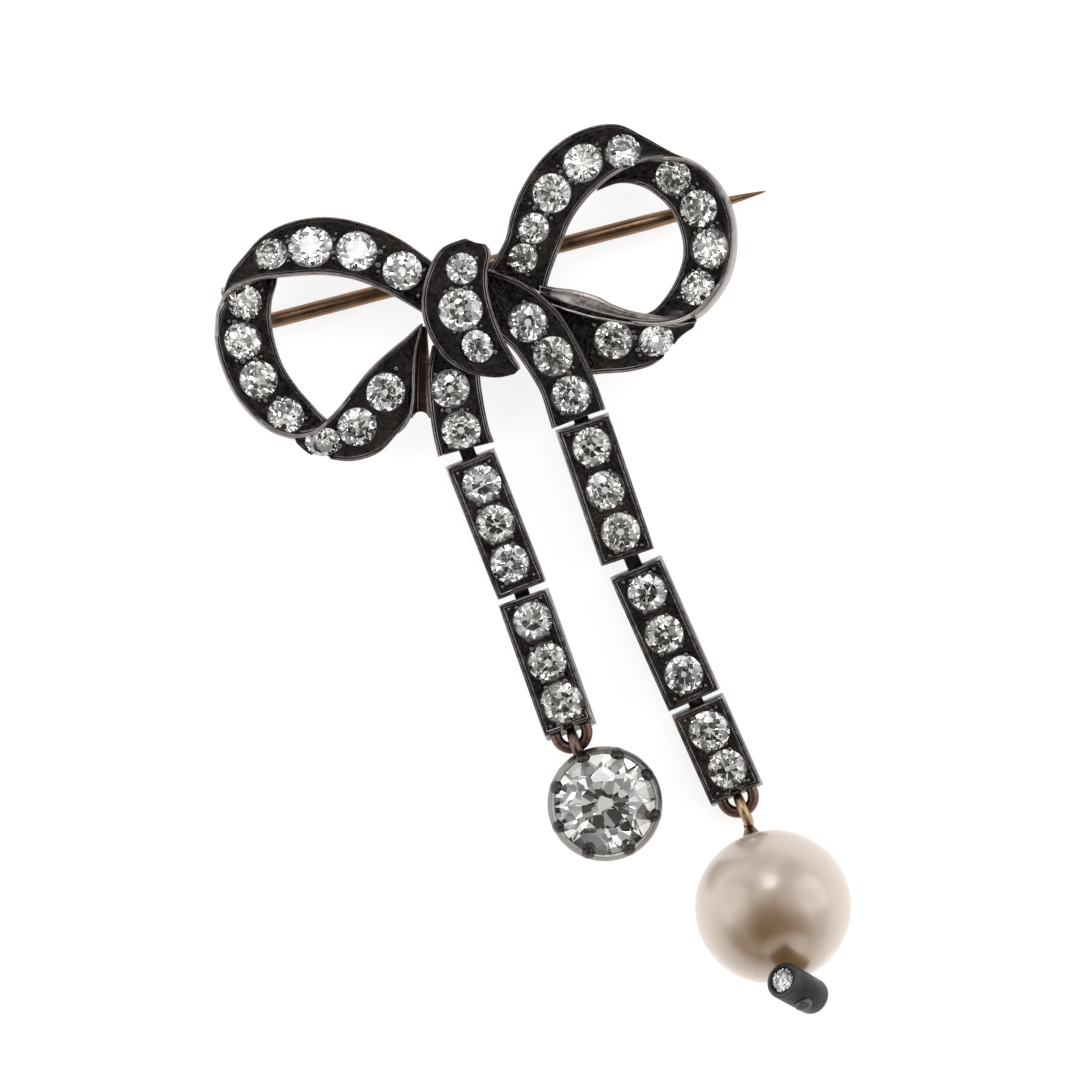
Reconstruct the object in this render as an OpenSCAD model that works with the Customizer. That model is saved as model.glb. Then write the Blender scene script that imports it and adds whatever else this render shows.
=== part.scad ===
// Bow brooch lying on its back: a ribbon bow set with stones, two linked tails of box plates,
// a claw-set drop, a pearl drop with a capped post, and a hinged pin behind.
// X runs across the bow, Y runs from the drops up to the bow, Z comes out of the front.

/* [Bow] */
// Width over both loops
bow_w = 31.1; // [29:0.1:34]
// Height of the knot above the surface
bow_h = 5.3; // [5.2:0.05:6]
// Thickness of a ribbon from rim to back
ribbon_t = 1.25; // [1.1:0.05:1.4]
// Width of the raised thread rim
rim_w = 0.32; // [0.2:0.01:0.4]
// Depth of the channel inside the rims
rim_d = 0.3; // [0.2:0.01:0.4]
// Outward lean of the ribbon walls
wall_lean = 0.22; // [0:0.01:0.4]
// Sections along each ribbon run
run_steps = 15; // [10:1:20]

/* [Stones] */
// Girdle width of a usual small stone
stone_d = 2.3; // [2:0.05:2.4]
// Gap between a stone and its seat
stone_gap = 0.06; // [0.04:0.01:0.1]
// Girdle width of the large drop stone
drop_stone_d = 5.9; // [5.4:0.1:6.1]
// Girdle width of the stone in the pearl cap
cap_stone_d = 1.5; // [1.2:0.05:1.6]

/* [Plates] */
// Width of a left tail plate
left_plate_w = 3.02; // [2.9:0.02:3.3]
// Width of a right tail plate
right_plate_w = 3.25; // [3:0.05:3.4]
// Thickness of a plate
plate_t = 1.7; // [1.65:0.05:1.9]
// Rim width of a plate
plate_rim = 0.3; // [0.2:0.01:0.35]
// Wire of the loops that carry the drops
loop_wire = 0.48; // [0.4:0.02:0.5]

/* [Drops] */
// Width of the claw collet
collet_d = 6.8; // [6.6:0.1:7.2]
// Height of the claw collet
collet_h = 3.75; // [3.5:0.05:4]
// Width of the pearl
pearl_d = 9.2; // [8.8:0.1:9.4]
// Bore drilled through the pearl
drill_d = 0.72; // [0.7:0.02:0.9]
// Tilt of the pearl post above the surface
post_tilt = 35; // [33:0.5:37]
// Width of the cap tube below the pearl
cap_d = 2.05; // [1.9:0.05:2.1]
// Length of the cap tube
cap_len = 3.6; // [3:0.1:3.8]

/* [Pin] */
// Width of the pin wire
pin_d = 0.94; // [0.84:0.02:1]
// Length of the pin from hinge to tip
pin_len = 32.2; // [31.5:0.1:33]
// Height of the pin line above the surface
pin_z = 1.05; // [1.05:0.01:1.1]
// Width of the hinge rivet
rivet_d = 0.6; // [0.56:0.01:0.62]
// Running clearance of the hinge on radius
hinge_fit = 0.04; // [0.02:0.005:0.06]

/* [Hidden] */
// Smoothness of round parts
$fn = 48;
// Ribbon tables, a row per section: [outer x, outer y, inner x, inner y] as shares of the bow
// width, then [outer height, inner height] as shares of the bow height
// Left loop, top run from the knot out to the fold
left_top_rows = [
    [0.001, 0.546, -0.053, 0.469, 0.77, 0.81],
    [-0.050, 0.622, -0.105, 0.532, 0.78, 0.86],
    [-0.105, 0.675, -0.158, 0.581, 0.78, 0.91],
    [-0.169, 0.713, -0.214, 0.612, 0.77, 0.93],
    [-0.236, 0.728, -0.274, 0.631, 0.74, 0.94],
    [-0.295, 0.722, -0.322, 0.643, 0.73, 0.93],
    [-0.345, 0.697, -0.356, 0.646, 0.74, 0.92],
    [-0.381, 0.673, -0.382, 0.645, 0.77, 0.90],
    [-0.402, 0.650, -0.397, 0.638, 0.83, 0.88]
];
// Left loop, end run under the top run and round to the foot
left_end_rows = [
    [-0.342, 0.660, -0.290, 0.652, 0.75, 0.62],
    [-0.390, 0.644, -0.303, 0.626, 0.82, 0.65],
    [-0.420, 0.618, -0.321, 0.600, 0.87, 0.68],
    [-0.439, 0.584, -0.334, 0.568, 0.90, 0.71],
    [-0.449, 0.546, -0.342, 0.526, 0.91, 0.72],
    [-0.451, 0.502, -0.343, 0.478, 0.92, 0.72],
    [-0.445, 0.452, -0.333, 0.432, 0.92, 0.72],
    [-0.428, 0.406, -0.319, 0.395, 0.92, 0.73],
    [-0.403, 0.368, -0.308, 0.369, 0.92, 0.75],
    [-0.368, 0.341, -0.300, 0.355, 0.90, 0.79]
];
// Left loop, foot run from the end back to the knot
left_foot_rows = [
    [-0.375, 0.354, -0.371, 0.329, 0.82, 0.66],
    [-0.338, 0.343, -0.356, 0.302, 0.85, 0.57],
    [-0.294, 0.350, -0.325, 0.281, 0.89, 0.60],
    [-0.247, 0.378, -0.282, 0.261, 0.89, 0.66],
    [-0.192, 0.411, -0.231, 0.259, 0.89, 0.66],
    [-0.140, 0.433, -0.185, 0.281, 0.87, 0.67],
    [-0.103, 0.446, -0.161, 0.296, 0.84, 0.68],
    [-0.070, 0.460, -0.142, 0.315, 0.81, 0.68]
];
// Right loop, top run from the knot out to the fold
right_top_rows = [
    [0.083, 0.515, 0.169, 0.434, 0.74, 0.74],
    [0.130, 0.555, 0.191, 0.467, 0.75, 0.77],
    [0.157, 0.596, 0.234, 0.517, 0.76, 0.81],
    [0.190, 0.634, 0.262, 0.548, 0.76, 0.85],
    [0.241, 0.673, 0.302, 0.576, 0.76, 0.90],
    [0.297, 0.697, 0.346, 0.595, 0.76, 0.92],
    [0.357, 0.703, 0.391, 0.605, 0.75, 0.94],
    [0.409, 0.689, 0.428, 0.606, 0.74, 0.94],
    [0.445, 0.652, 0.461, 0.599, 0.75, 0.93],
    [0.475, 0.616, 0.486, 0.589, 0.79, 0.92],
    [0.501, 0.586, 0.506, 0.577, 0.85, 0.91]
];
// Right loop, end run under the top run and round to the foot
right_end_rows = [
    [0.378, 0.637, 0.326, 0.584, 0.74, 0.64],
    [0.436, 0.628, 0.371, 0.584, 0.77, 0.64],
    [0.480, 0.602, 0.406, 0.566, 0.83, 0.66],
    [0.520, 0.564, 0.429, 0.539, 0.89, 0.68],
    [0.544, 0.513, 0.445, 0.504, 0.92, 0.70],
    [0.548, 0.456, 0.449, 0.459, 0.92, 0.71],
    [0.534, 0.404, 0.439, 0.416, 0.92, 0.72],
    [0.508, 0.359, 0.416, 0.383, 0.92, 0.72],
    [0.472, 0.326, 0.386, 0.356, 0.92, 0.73],
    [0.426, 0.303, 0.355, 0.338, 0.92, 0.75],
    [0.383, 0.301, 0.329, 0.334, 0.90, 0.77]
];
// Right loop, plain turned band above the foot run
right_fold_rows = [
    [0.422, 0.305, 0.423, 0.297, 0.91, 0.92],
    [0.381, 0.311, 0.379, 0.298, 0.90, 0.92],
    [0.347, 0.326, 0.341, 0.305, 0.92, 0.92],
    [0.311, 0.346, 0.301, 0.322, 0.93, 0.91],
    [0.282, 0.369, 0.265, 0.342, 0.93, 0.90],
    [0.259, 0.394, 0.233, 0.361, 0.92, 0.89],
    [0.223, 0.421, 0.202, 0.384, 0.87, 0.85],
    [0.190, 0.438, 0.181, 0.401, 0.79, 0.77],
    [0.164, 0.454, 0.156, 0.422, 0.74, 0.72]
];
// Right loop, foot run from the end back under the tail
right_foot_rows = [
    [0.419, 0.287, 0.409, 0.277, 0.83, 0.79],
    [0.389, 0.294, 0.379, 0.268, 0.83, 0.66],
    [0.358, 0.306, 0.350, 0.250, 0.85, 0.58],
    [0.322, 0.325, 0.313, 0.238, 0.85, 0.61],
    [0.284, 0.345, 0.269, 0.241, 0.83, 0.67],
    [0.247, 0.367, 0.226, 0.253, 0.79, 0.66],
    [0.201, 0.398, 0.187, 0.265, 0.75, 0.64],
    [0.174, 0.422, 0.157, 0.284, 0.74, 0.63]
];
// Knot leaf from its top down to its point
knot_rows = [
    [0.055, 0.584, 0.089, 0.565, 0.89, 0.87],
    [0.009, 0.577, 0.094, 0.541, 0.94, 0.92],
    [-0.031, 0.541, 0.079, 0.505, 0.98, 0.94],
    [-0.058, 0.494, 0.068, 0.464, 1.00, 0.95],
    [-0.065, 0.440, 0.065, 0.415, 1.00, 0.95],
    [-0.052, 0.383, 0.067, 0.372, 0.98, 0.93],
    [-0.017, 0.340, 0.072, 0.342, 0.93, 0.90],
    [0.026, 0.316, 0.076, 0.327, 0.87, 0.85],
    [0.061, 0.310, 0.077, 0.317, 0.82, 0.82]
];
// Left tail from under the knot to its end
left_tail_rows = [
    [-0.066, 0.416, 0.026, 0.393, 0.75, 0.75],
    [-0.092, 0.372, 0.002, 0.337, 0.74, 0.74],
    [-0.108, 0.321, -0.010, 0.287, 0.71, 0.71],
    [-0.121, 0.265, -0.018, 0.234, 0.66, 0.66],
    [-0.128, 0.214, -0.018, 0.204, 0.61, 0.61]
];
// Right tail from under the knot to its end
right_tail_rows = [
    [0.094, 0.513, 0.061, 0.461, 0.81, 0.75],
    [0.132, 0.473, 0.065, 0.399, 0.85, 0.75],
    [0.165, 0.425, 0.075, 0.355, 0.87, 0.75],
    [0.186, 0.373, 0.087, 0.311, 0.85, 0.73],
    [0.197, 0.303, 0.096, 0.263, 0.79, 0.70],
    [0.202, 0.240, 0.095, 0.223, 0.70, 0.64],
    [0.202, 0.190, 0.093, 0.190, 0.62, 0.60]
];
// Plain fold between the left foot run and the left tail
fold_rows = [
    [-0.074, 0.458, -0.063, 0.454, 0.66, 0.66],
    [-0.106, 0.407, -0.080, 0.397, 0.62, 0.62],
    [-0.129, 0.355, -0.099, 0.344, 0.60, 0.60],
    [-0.152, 0.302, -0.115, 0.289, 0.60, 0.60]
];
// Stone tables, a row per stone: [share along the run, share across it, share of the usual stone]
left_top_stones = [
    [0.107, 0.487, 1.00],
    [0.264, 0.492, 1.04],
    [0.427, 0.486, 1.13],
    [0.591, 0.460, 0.85]
];
left_end_stones = [
    [0.204, 0.448, 0.91],
    [0.422, 0.471, 0.98],
    [0.606, 0.509, 0.98],
    [0.819, 0.490, 0.93]
];
left_foot_stones = [
    [0.239, 0.621, 0.91],
    [0.470, 0.547, 1.00],
    [0.657, 0.424, 1.00]
];
right_top_stones = [
    [0.089, 0.433, 0.74],
    [0.195, 0.444, 0.78],
    [0.346, 0.471, 1.00],
    [0.495, 0.501, 1.02],
    [0.646, 0.646, 0.96]
];
right_end_stones = [
    [0.282, 0.510, 0.91],
    [0.444, 0.552, 0.96],
    [0.599, 0.489, 1.00],
    [0.769, 0.490, 0.91]
];
right_foot_stones = [
    [0.352, 0.567, 0.91],
    [0.640, 0.444, 0.98]
];
knot_stones = [
    [0.215, 0.551, 0.80],
    [0.420, 0.551, 1.13],
    [0.608, 0.573, 0.85]
];
left_tail_stones = [
    [0.405, 0.421, 0.98],
    [0.775, 0.499, 1.00]
];
right_tail_stones = [
    [0.318, 0.508, 1.00],
    [0.571, 0.501, 1.02],
    [0.821, 0.488, 1.02]
];
// Plate tables: [top height, end height] as shares of the bow height, then turn and roll in degrees
left_plate_1_lie = [0.59, 0.49, 1.5, 0.0];
left_plate_2_lie = [0.48, 0.56, -0.4, -3.0];
right_plate_1_lie = [0.59, 0.51, -1.2, 0.0];
right_plate_2_lie = [0.49, 0.45, 3.9, -3.0];
right_plate_3_lie = [0.44, 0.41, 3.9, -3.0];
// Plate lengths
left_plate_1_len = 8.35;
left_plate_2_len = 8.24;
right_plate_1_len = 8.39;
right_plate_2_len = 8.56;
right_plate_3_len = 5.66;
// Stones of a plate: [share of its length from the top end, share of its width off the middle]
left_plate_1_set = [[0.195, 0.03], [0.491, 0], [0.790, -0.03]];
left_plate_2_set = [[0.184, 0.03], [0.498, 0.03], [0.809, 0.04]];
right_plate_1_set = [[0.181, 0.02], [0.501, 0], [0.816, 0.02]];
right_plate_2_set = [[0.185, 0.02], [0.499, -0.01], [0.808, 0.02]];
right_plate_3_set = [[0.284, 0.02], [0.726, 0.04]];
// Link between plates: bar place inside the next plate, and its eye
link_in = 0.36;
link_drop = 0.95;
link_bar = 0.26;
link_eye = 0.6;
link_w = 0.9;
link_gap = 0.08;
// Drop loops: reach of the wire loop past its plate, reach of the ring centre, their radii
loop_r = 1;
loop_leg = 0.27;
ring_out = 1.15;
ring_r = 0.8;
// Heading of the pearl post, and the places of the claws round the collet
post_turn = -4;
claw_turns = [56, 15, -33, -82, -129, -174, 141, 95];
// Pin line: hinge place, heading and the slant of the hinge from the vertical
hinge_at = [-0.3945, 0.5747];
pin_turn = -5.3;
hinge_slant = 40;
pin_eye = 1.3;
eye_len = 0.8;
ear_t = 0.35;
taper_at = 26;
catch_at = 27.4;
catch_len = 2;
catch_r = 0.6;
catch_t = 0.38;
// Middle of the small arch that ends the fold beside the left tail
fold_arch = [-0.1350, 0.2917];
// Stone width that the ribbons have room for
set_d = min(stone_d, 0.074 * bow_w);
// Reach of a hung ring past its plate, and of the post past the pearl at each end
hang = ring_out + ring_r;
post_up = 1.35;
post_down = cap_d + 0.3;
// Top ends of the plates, each chained to the plate before it
left_plate_1_top = [-0.072 * bow_w, 0.189 * bow_w];
left_plate_2_top = past(left_plate_1_top, left_plate_1_lie[2], left_plate_1_len + 0.33, -0.13);
right_plate_1_top = [0.152 * bow_w, 0.181 * bow_w];
right_plate_2_top = past(right_plate_1_top, right_plate_1_lie[2], right_plate_1_len + 0.75, 0.19);
right_plate_3_top = past(right_plate_2_top, right_plate_2_lie[2], right_plate_2_len + 0.42, 0.04);
// Places of the collet, of the pearl's ring end and of the pearl, and the height of the drop stone
collet_at = past(left_plate_2_top, left_plate_2_lie[2],
    left_plate_2_len + hang + collet_d / 2 - 0.46, 0.51);
ring_at = past(right_plate_3_top, right_plate_3_lie[2], right_plate_3_len + hang, -0.04);
pearl_at = past(ring_at, post_turn, (pearl_d / 2 + post_up) * cos(post_tilt), 0);
girdle_at = collet_h - 0.4;
// Shift that centres the whole piece over its footprint
cap_out = cos(post_tilt) * (pearl_d / 2 + cap_d / 2 + 0.08) + 0.256 * cap_len + 0.43 * cap_d;
mid_x = -0.083 * bow_w;
mid_y = (cap_out - pearl_at[1] - 0.7215 * bow_w) / 2;

// Point along and beside a heading, as seen from above
function past(at, turn, along, side) =
    at + [along * sin(turn) + side * cos(turn), side * sin(turn) - along * cos(turn)];

// Stone width that a plate has room for
function plate_stone(length, stones) = min(stone_d, 0.85 * length / len(stones));

// Smooth curve through four neighbouring rows
function bend(a, b, c, d, t) = 0.5 * (2 * b + (c - a) * t + (2 * a - 5 * b + 4 * c - d) * t * t
    + (3 * b - a - 3 * c + d) * t * t * t);

// Row of a table at a share of its length
function row_at(rows, share) =
    let (n = len(rows) - 1, s = max(0, min(share * n, n - 0.0001)), i = floor(s))
    bend(rows[max(i - 1, 0)], rows[i], rows[i + 1], rows[min(i + 2, n)], s - i);

// Outer and inner edge points of a ribbon at a share of its length
function edges(rows, share) =
    let (r = row_at(rows, share))
    [[r[0] * bow_w, r[1] * bow_w, r[4] * bow_h], [r[2] * bow_w, r[3] * bow_w, r[5] * bow_h]];

// Unit vector
function unit(v) = v / norm(v);

// Middle point, across direction and face direction of a ribbon
function face(rows, share) =
    let (
        e = edges(rows, share),
        a = edges(rows, max(share - 0.02, 0)),
        b = edges(rows, min(share + 0.02, 1)),
        w = unit(e[1] - e[0]),
        run = (b[0] + b[1] - a[0] - a[1]) / 2,
        up = unit(cross(w, run))
    )
    [(e[0] + e[1]) / 2, w, up[2] < 0 ? -up : up];

// Eight points of a ribbon section: leaning walls, two rims and a sunk floor between them
function section(rows, share, thick, sunk) =
    let (
        e = edges(rows, share),
        f = face(rows, share),
        wide = norm(e[1] - e[0]),
        rim = min(rim_w, wide * 0.2),
        lean = min(wall_lean, wide * 0.2)
    )
    [
        e[0] - f[2] * thick - f[1] * lean,
        e[0],
        e[0] + f[1] * rim,
        e[0] + f[1] * rim * 1.4 - f[2] * sunk,
        e[1] - f[1] * rim * 1.4 - f[2] * sunk,
        e[1] - f[1] * rim,
        e[1],
        e[1] - f[2] * thick + f[1] * lean
    ];

// A ribbon run swept through its table
module ribbon(rows, thick = ribbon_t, sunk = rim_d, steps = run_steps) {
    points = [for (k = [0:steps]) each section(rows, k / steps, thick, sunk)];
    e = edges(rows, 0);
    n = edges(rows, 0.05);
    flip = cross(e[1] - e[0], n[0] - e[0])[2] < 0;
    cap = [[0, 1, 2], [0, 2, 3], [0, 3, 4], [0, 4, 7], [4, 5, 6], [4, 6, 7]];
    sides = [for (k = [0:steps - 1]) for (j = [0:7])
        let (a = 8 * k + j, b = 8 * k + (j + 1) % 8)
        each [[a, b, b + 8], [a, b + 8, a + 8]]];
    ends = concat([for (c = cap) [c[2], c[1], c[0]]], [for (c = cap) c + [1, 1, 1] * 8 * steps]);
    faces = concat(sides, ends);
    polyhedron(points, flip ? faces : [for (f = faces) [f[2], f[1], f[0]]]);
}

// Places its children on the face of a ribbon
module on_ribbon(rows, along, across) {
    e = edges(rows, along);
    f = face(rows, along);
    o = e[0] + (e[1] - e[0]) * across;
    y = cross(f[2], f[1]);
    multmatrix([[f[1][0], y[0], f[2][0], o[0]], [f[1][1], y[1], f[2][1], o[1]],
        [f[1][2], y[2], f[2][2], o[2]], [0, 0, 0, 1]]) children();
}

// A round cut stone with an eight-sided table, girdle at height zero
module gem(d) {
    r = d / 2;
    points = concat(
        [for (k = [0:7]) [0.56 * r * cos(45 * k + 22.5), 0.56 * r * sin(45 * k + 22.5), 0.34 * r]],
        [for (k = [0:15]) [r * cos(22.5 * k), r * sin(22.5 * k), 0.03 * r]],
        [for (k = [0:15]) [r * cos(22.5 * k), r * sin(22.5 * k), -0.03 * r]],
        [[0, 0, -0.86 * r]]
    );
    table = [for (k = [1:6]) [0, k + 1, k]];
    crown = [for (k = [0:7])
        let (a = k, b = (k + 1) % 8, g = 8 + 2 * k, h = 8 + (2 * k + 2) % 16)
        each [[a, b, h], [g, a, g + 1], [g + 1, a, h]]];
    girdle = [for (k = [0:15])
        let (g = 8 + k, h = 8 + (k + 1) % 16)
        each [[g, h, h + 16], [g, h + 16, g + 16]]];
    pavilion = [for (k = [0:15]) [24 + k, 24 + (k + 1) % 16, 40]];
    polyhedron(points, concat(table, crown, girdle, pavilion));
}

// Cutter for a stone seat, open through the back
module seat(d) {
    r = d / 2 + stone_gap;
    translate([0, 0, -0.12]) cylinder(h = 0.6, r = r);
    translate([0, 0, -1.32]) cylinder(h = 1.2, r1 = 0.45, r2 = r);
    translate([0, 0, -1.6]) cylinder(h = 0.3, r = 0.45);
}

// Children on every stone place of a ribbon, at girdle level
module per_stone(rows, stones) {
    for (s = stones) on_ribbon(rows, s[0], s[1]) translate([0, 0, -rim_d]) scale_to(s[2]) children();
}

// Hands the stone width to its child module
module scale_to(share) {
    $stone = share * set_d;
    children();
}

// Moves children from the bow's own axes to the middle of the whole piece
module laid() {
    translate([mid_x, mid_y, 0]) children();
}

// Pin axes: X along the pin, Z up
module on_pin() {
    translate([hinge_at[0] * bow_w, hinge_at[1] * bow_w, pin_z]) rotate([0, 0, pin_turn]) children();
}

// Hinge axes: Z along the slanted hinge line, X along the pin
module on_hinge() {
    on_pin() rotate([hinge_slant, 0, 0]) children();
}

// Plate axes: top end on the front face at the origin, Y toward the bow
module on_plate(top, lie, length) {
    drop = (lie[1] - lie[0]) * bow_h;
    translate([top[0], top[1], lie[0] * bow_h]) rotate([0, 0, lie[2]])
        rotate([-asin(drop / length), 0, 0]) rotate([0, lie[3], 0]) children();
}

// Eye and tongue that reach into the slot of the next plate
module tongue(top, lie, length, reach) {
    on_plate(top, lie, length) translate([0, -link_in, -link_drop]) difference() {
        union() {
            rotate([0, 90, 0]) cylinder(h = link_w, d = link_eye, center = true);
            translate([-link_w / 2, 0, -0.2]) cube([link_w, link_in + reach, 0.4]);
        }
        rotate([0, 90, 0]) cylinder(h = link_w + 1, d = link_bar + 2 * link_gap - 0.04, center = true);
    }
}

// Box plate with a sunk channel, a slot and cross bar at its top end
module box_plate(length, width, stones, foot = 0) {
    w = width / 2;
    lean = 0.1;
    difference() {
        polyhedron(
            [[-w, 0, 0], [w, 0, 0], [w, -length, 0], [-w, -length, 0],
             [-w - lean, 0, -plate_t], [w + lean, 0, -plate_t],
             [w + lean, -length - foot, -plate_t], [-w - lean, -length - foot, -plate_t]],
            [[0, 1, 2, 3], [7, 6, 5, 4], [1, 0, 4, 5], [2, 1, 5, 6], [3, 2, 6, 7], [0, 3, 7, 4]]
        );
        translate([-w + plate_rim, plate_rim - length, -0.28])
            cube([width - 2 * plate_rim, length - 2 * plate_rim, 1]);
        for (s = stones) translate([s[1] * width, -s[0] * length, -0.28])
            seat(plate_stone(length, stones));
        translate([-link_w / 2 - link_gap, -link_in - link_eye / 2 - link_gap, -link_drop - 0.4])
            cube([link_w + 2 * link_gap, 2, 0.8]);
        if (foot > 0) translate([0, -length - 0.3, -plate_t - 1]) cylinder(h = plate_t + 2, r = 0.55);
    }
    translate([0, -link_in, -link_drop]) rotate([0, 90, 0])
        cylinder(h = link_w + 0.4, d = link_bar, center = true);
}

// Wire loop under the end of a last plate
module wire_loop(length) {
    translate([0, -length, -plate_t / 2]) {
        translate([0, -loop_leg, 0]) rotate([0, 0, 180]) rotate_extrude(angle = 180)
            translate([loop_r, 0]) circle(d = loop_wire);
        for (x = [-loop_r, loop_r]) translate([x, -loop_leg, 0]) rotate([-90, 0, 0])
            cylinder(h = loop_leg + 0.3, d = loop_wire);
    }
}

// Stones of one box plate
module plate_stones(top, lie, length, width, stones) {
    laid() on_plate(top, lie, length) for (s = stones)
        translate([s[1] * width, -s[0] * length, -0.28]) gem(plate_stone(length, stones));
}

// Ring that hangs in a wire loop, standing along the plate
module hung_ring(top, lie, length) {
    on_plate(top, lie, length) translate([0, -length - ring_out, -plate_t / 2]) rotate([0, 90, 0])
        rotate_extrude() translate([ring_r, 0]) circle(d = loop_wire);
}

// Both loops, the knot and the tails soldered as one, with the hinge ears and the catch behind
module bow_frame() {
    color("DimGray") laid() difference() {
        union() {
            ribbon(left_top_rows);
            ribbon(left_end_rows);
            ribbon(left_foot_rows);
            ribbon(right_top_rows);
            ribbon(right_end_rows);
            ribbon(right_fold_rows, sunk = -0.12);
            ribbon(right_foot_rows);
            ribbon(knot_rows, thick = 2.1);
            ribbon(left_tail_rows, steps = 8);
            ribbon(right_tail_rows);
            ribbon(fold_rows, thick = 0.9, sunk = 0.15, steps = 5);
            tongue(left_plate_1_top, left_plate_1_lie, left_plate_1_len, 1);
            tongue(right_plate_1_top, right_plate_1_lie, right_plate_1_len, 0.7);
            hinge_ears();
            pin_catch();
        }
        translate([fold_arch[0] * bow_w, fold_arch[1] * bow_w, 1]) cylinder(h = 3, r = 0.5);
        per_stone(left_top_rows, left_top_stones) seat($stone);
        per_stone(left_end_rows, left_end_stones) seat($stone);
        per_stone(left_foot_rows, left_foot_stones) seat($stone);
        per_stone(right_top_rows, right_top_stones) seat($stone);
        per_stone(right_end_rows, right_end_stones) seat($stone);
        per_stone(right_foot_rows, right_foot_stones) seat($stone);
        per_stone(knot_rows, knot_stones) seat($stone);
        per_stone(left_tail_rows, left_tail_stones) seat($stone);
        per_stone(right_tail_rows, right_tail_stones) seat($stone);
    }
}

// Two slanted ears that carry the hinge rivet, under a pad soldered to the loop
module hinge_ears() {
    on_hinge() difference() {
        for (side = [-1, 1]) translate([0, 0, side * (eye_len / 2 + 0.05 + ear_t / 2)]) {
            cylinder(h = ear_t, d = pin_eye, center = true);
            translate([-pin_eye / 2, 0, -ear_t / 2]) cube([pin_eye, 2.3 - 0.4 * side, ear_t]);
        }
        cylinder(h = 5, d = rivet_d + 2 * hinge_fit, center = true);
    }
    on_pin() translate([-pin_eye / 2, 0.45, 0.9]) cube([1.9, 1.85, 1.1]);
}

// Open hook that holds the pin near its tip
module pin_catch() {
    on_pin() translate([catch_at, 0, 0]) rotate([0, 90, 0]) {
        difference() {
            cylinder(h = catch_len, r = catch_r + catch_t);
            translate([0, 0, -1]) cylinder(h = catch_len + 2, r = catch_r);
            rotate([0, 0, hinge_slant]) translate([0, 0, -1]) linear_extrude(catch_len + 2)
                polygon([[0, 0], [3 * cos(50), -3 * sin(50)], [5, 0], [3 * cos(50), 3 * sin(50)]]);
        }
        translate([-2.45, -0.3, 0]) cube([2.45 - catch_r - 0.1, 0.6, catch_len]);
    }
}

module hinge_rivet() {
    color("Sienna") laid() on_hinge() {
        cylinder(h = 1.8, d = rivet_d, center = true);
        for (side = [0, 180]) rotate([side, 0, 0]) translate([0, 0, 0.84]) cylinder(h = 0.12, d = 0.86);
    }
}

// Straight pin with a flat neck and eye, tapering to a point behind the right loop
module pin_stem() {
    color("Peru") laid() difference() {
        union() {
            on_hinge() cylinder(h = eye_len, d = pin_eye, center = true);
            on_hinge() translate([0, -0.38, -eye_len / 2]) cube([1.3, 0.76, eye_len]);
            on_pin() rotate([0, 90, 0]) {
                translate([0, 0, 1.2]) cylinder(h = taper_at - 1.2, d = pin_d);
                translate([0, 0, taper_at]) cylinder(h = 4.1, d1 = pin_d, d2 = 0.56);
                translate([0, 0, taper_at + 4.1]) cylinder(h = pin_len - taper_at - 4.1, d1 = 0.56, d2 = 0.1);
            }
        }
        on_hinge() cylinder(h = 4, d = rivet_d + 2 * hinge_fit, center = true);
    }
}

module left_plate_1() {
    color("SlateGray") laid() {
        on_plate(left_plate_1_top, left_plate_1_lie, left_plate_1_len)
            box_plate(left_plate_1_len, left_plate_w, left_plate_1_set);
        tongue(left_plate_2_top, left_plate_2_lie, left_plate_2_len, 0.8);
    }
}

module left_plate_2() {
    color("SlateGray") laid() on_plate(left_plate_2_top, left_plate_2_lie, left_plate_2_len) {
        box_plate(left_plate_2_len, left_plate_w, left_plate_2_set, 0.3);
        wire_loop(left_plate_2_len);
    }
}

module right_plate_1() {
    color("SlateGray") laid() {
        on_plate(right_plate_1_top, right_plate_1_lie, right_plate_1_len)
            box_plate(right_plate_1_len, right_plate_w, right_plate_1_set);
        tongue(right_plate_2_top, right_plate_2_lie, right_plate_2_len, 1.1);
    }
}

module right_plate_2() {
    color("SlateGray") laid() {
        on_plate(right_plate_2_top, right_plate_2_lie, right_plate_2_len)
            box_plate(right_plate_2_len, right_plate_w, right_plate_2_set);
        tongue(right_plate_3_top, right_plate_3_lie, right_plate_3_len, 0.8);
    }
}

module right_plate_3() {
    color("SlateGray") laid() on_plate(right_plate_3_top, right_plate_3_lie, right_plate_3_len) {
        box_plate(right_plate_3_len, right_plate_w, right_plate_3_set, 0.3);
        wire_loop(right_plate_3_len);
    }
}

// Open-backed collet with eight cut-down claws and the ring it hangs by
module drop_collet() {
    r = collet_d / 2;
    color("Silver") laid() {
        difference() {
            union() {
                translate([collet_at[0], collet_at[1], 0]) {
                    rotate_extrude() polygon([[r - 1.3, 0], [r - 0.85, 0], [r - 0.15, 2.6], [r, 3.3],
                        [r, collet_h], [r - 0.3, collet_h], [r - 0.4, 3.3], [r - 0.75, 2.6]]);
                    for (turn = claw_turns) rotate([0, 0, turn]) translate([r - 0.22, 0, 2.6])
                        cylinder(h = 1.45, d = 0.62);
                }
                hung_ring(left_plate_2_top, left_plate_2_lie, left_plate_2_len);
            }
            translate([collet_at[0], collet_at[1], girdle_at]) {
                translate([0, 0, -0.14]) cylinder(h = 0.28, d = drop_stone_d + 2 * stone_gap);
                translate([0, 0, 0.14]) cylinder(h = 1.2, d1 = drop_stone_d + 2 * stone_gap, d2 = 4.1);
                translate([0, 0, -3.2]) cylinder(h = 3.07, d1 = 0.9, d2 = drop_stone_d + 2 * stone_gap);
            }
        }
    }
}

module drop_stone() {
    color("White") laid() translate([collet_at[0], collet_at[1], girdle_at])
        gem(drop_stone_d);
}

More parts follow.
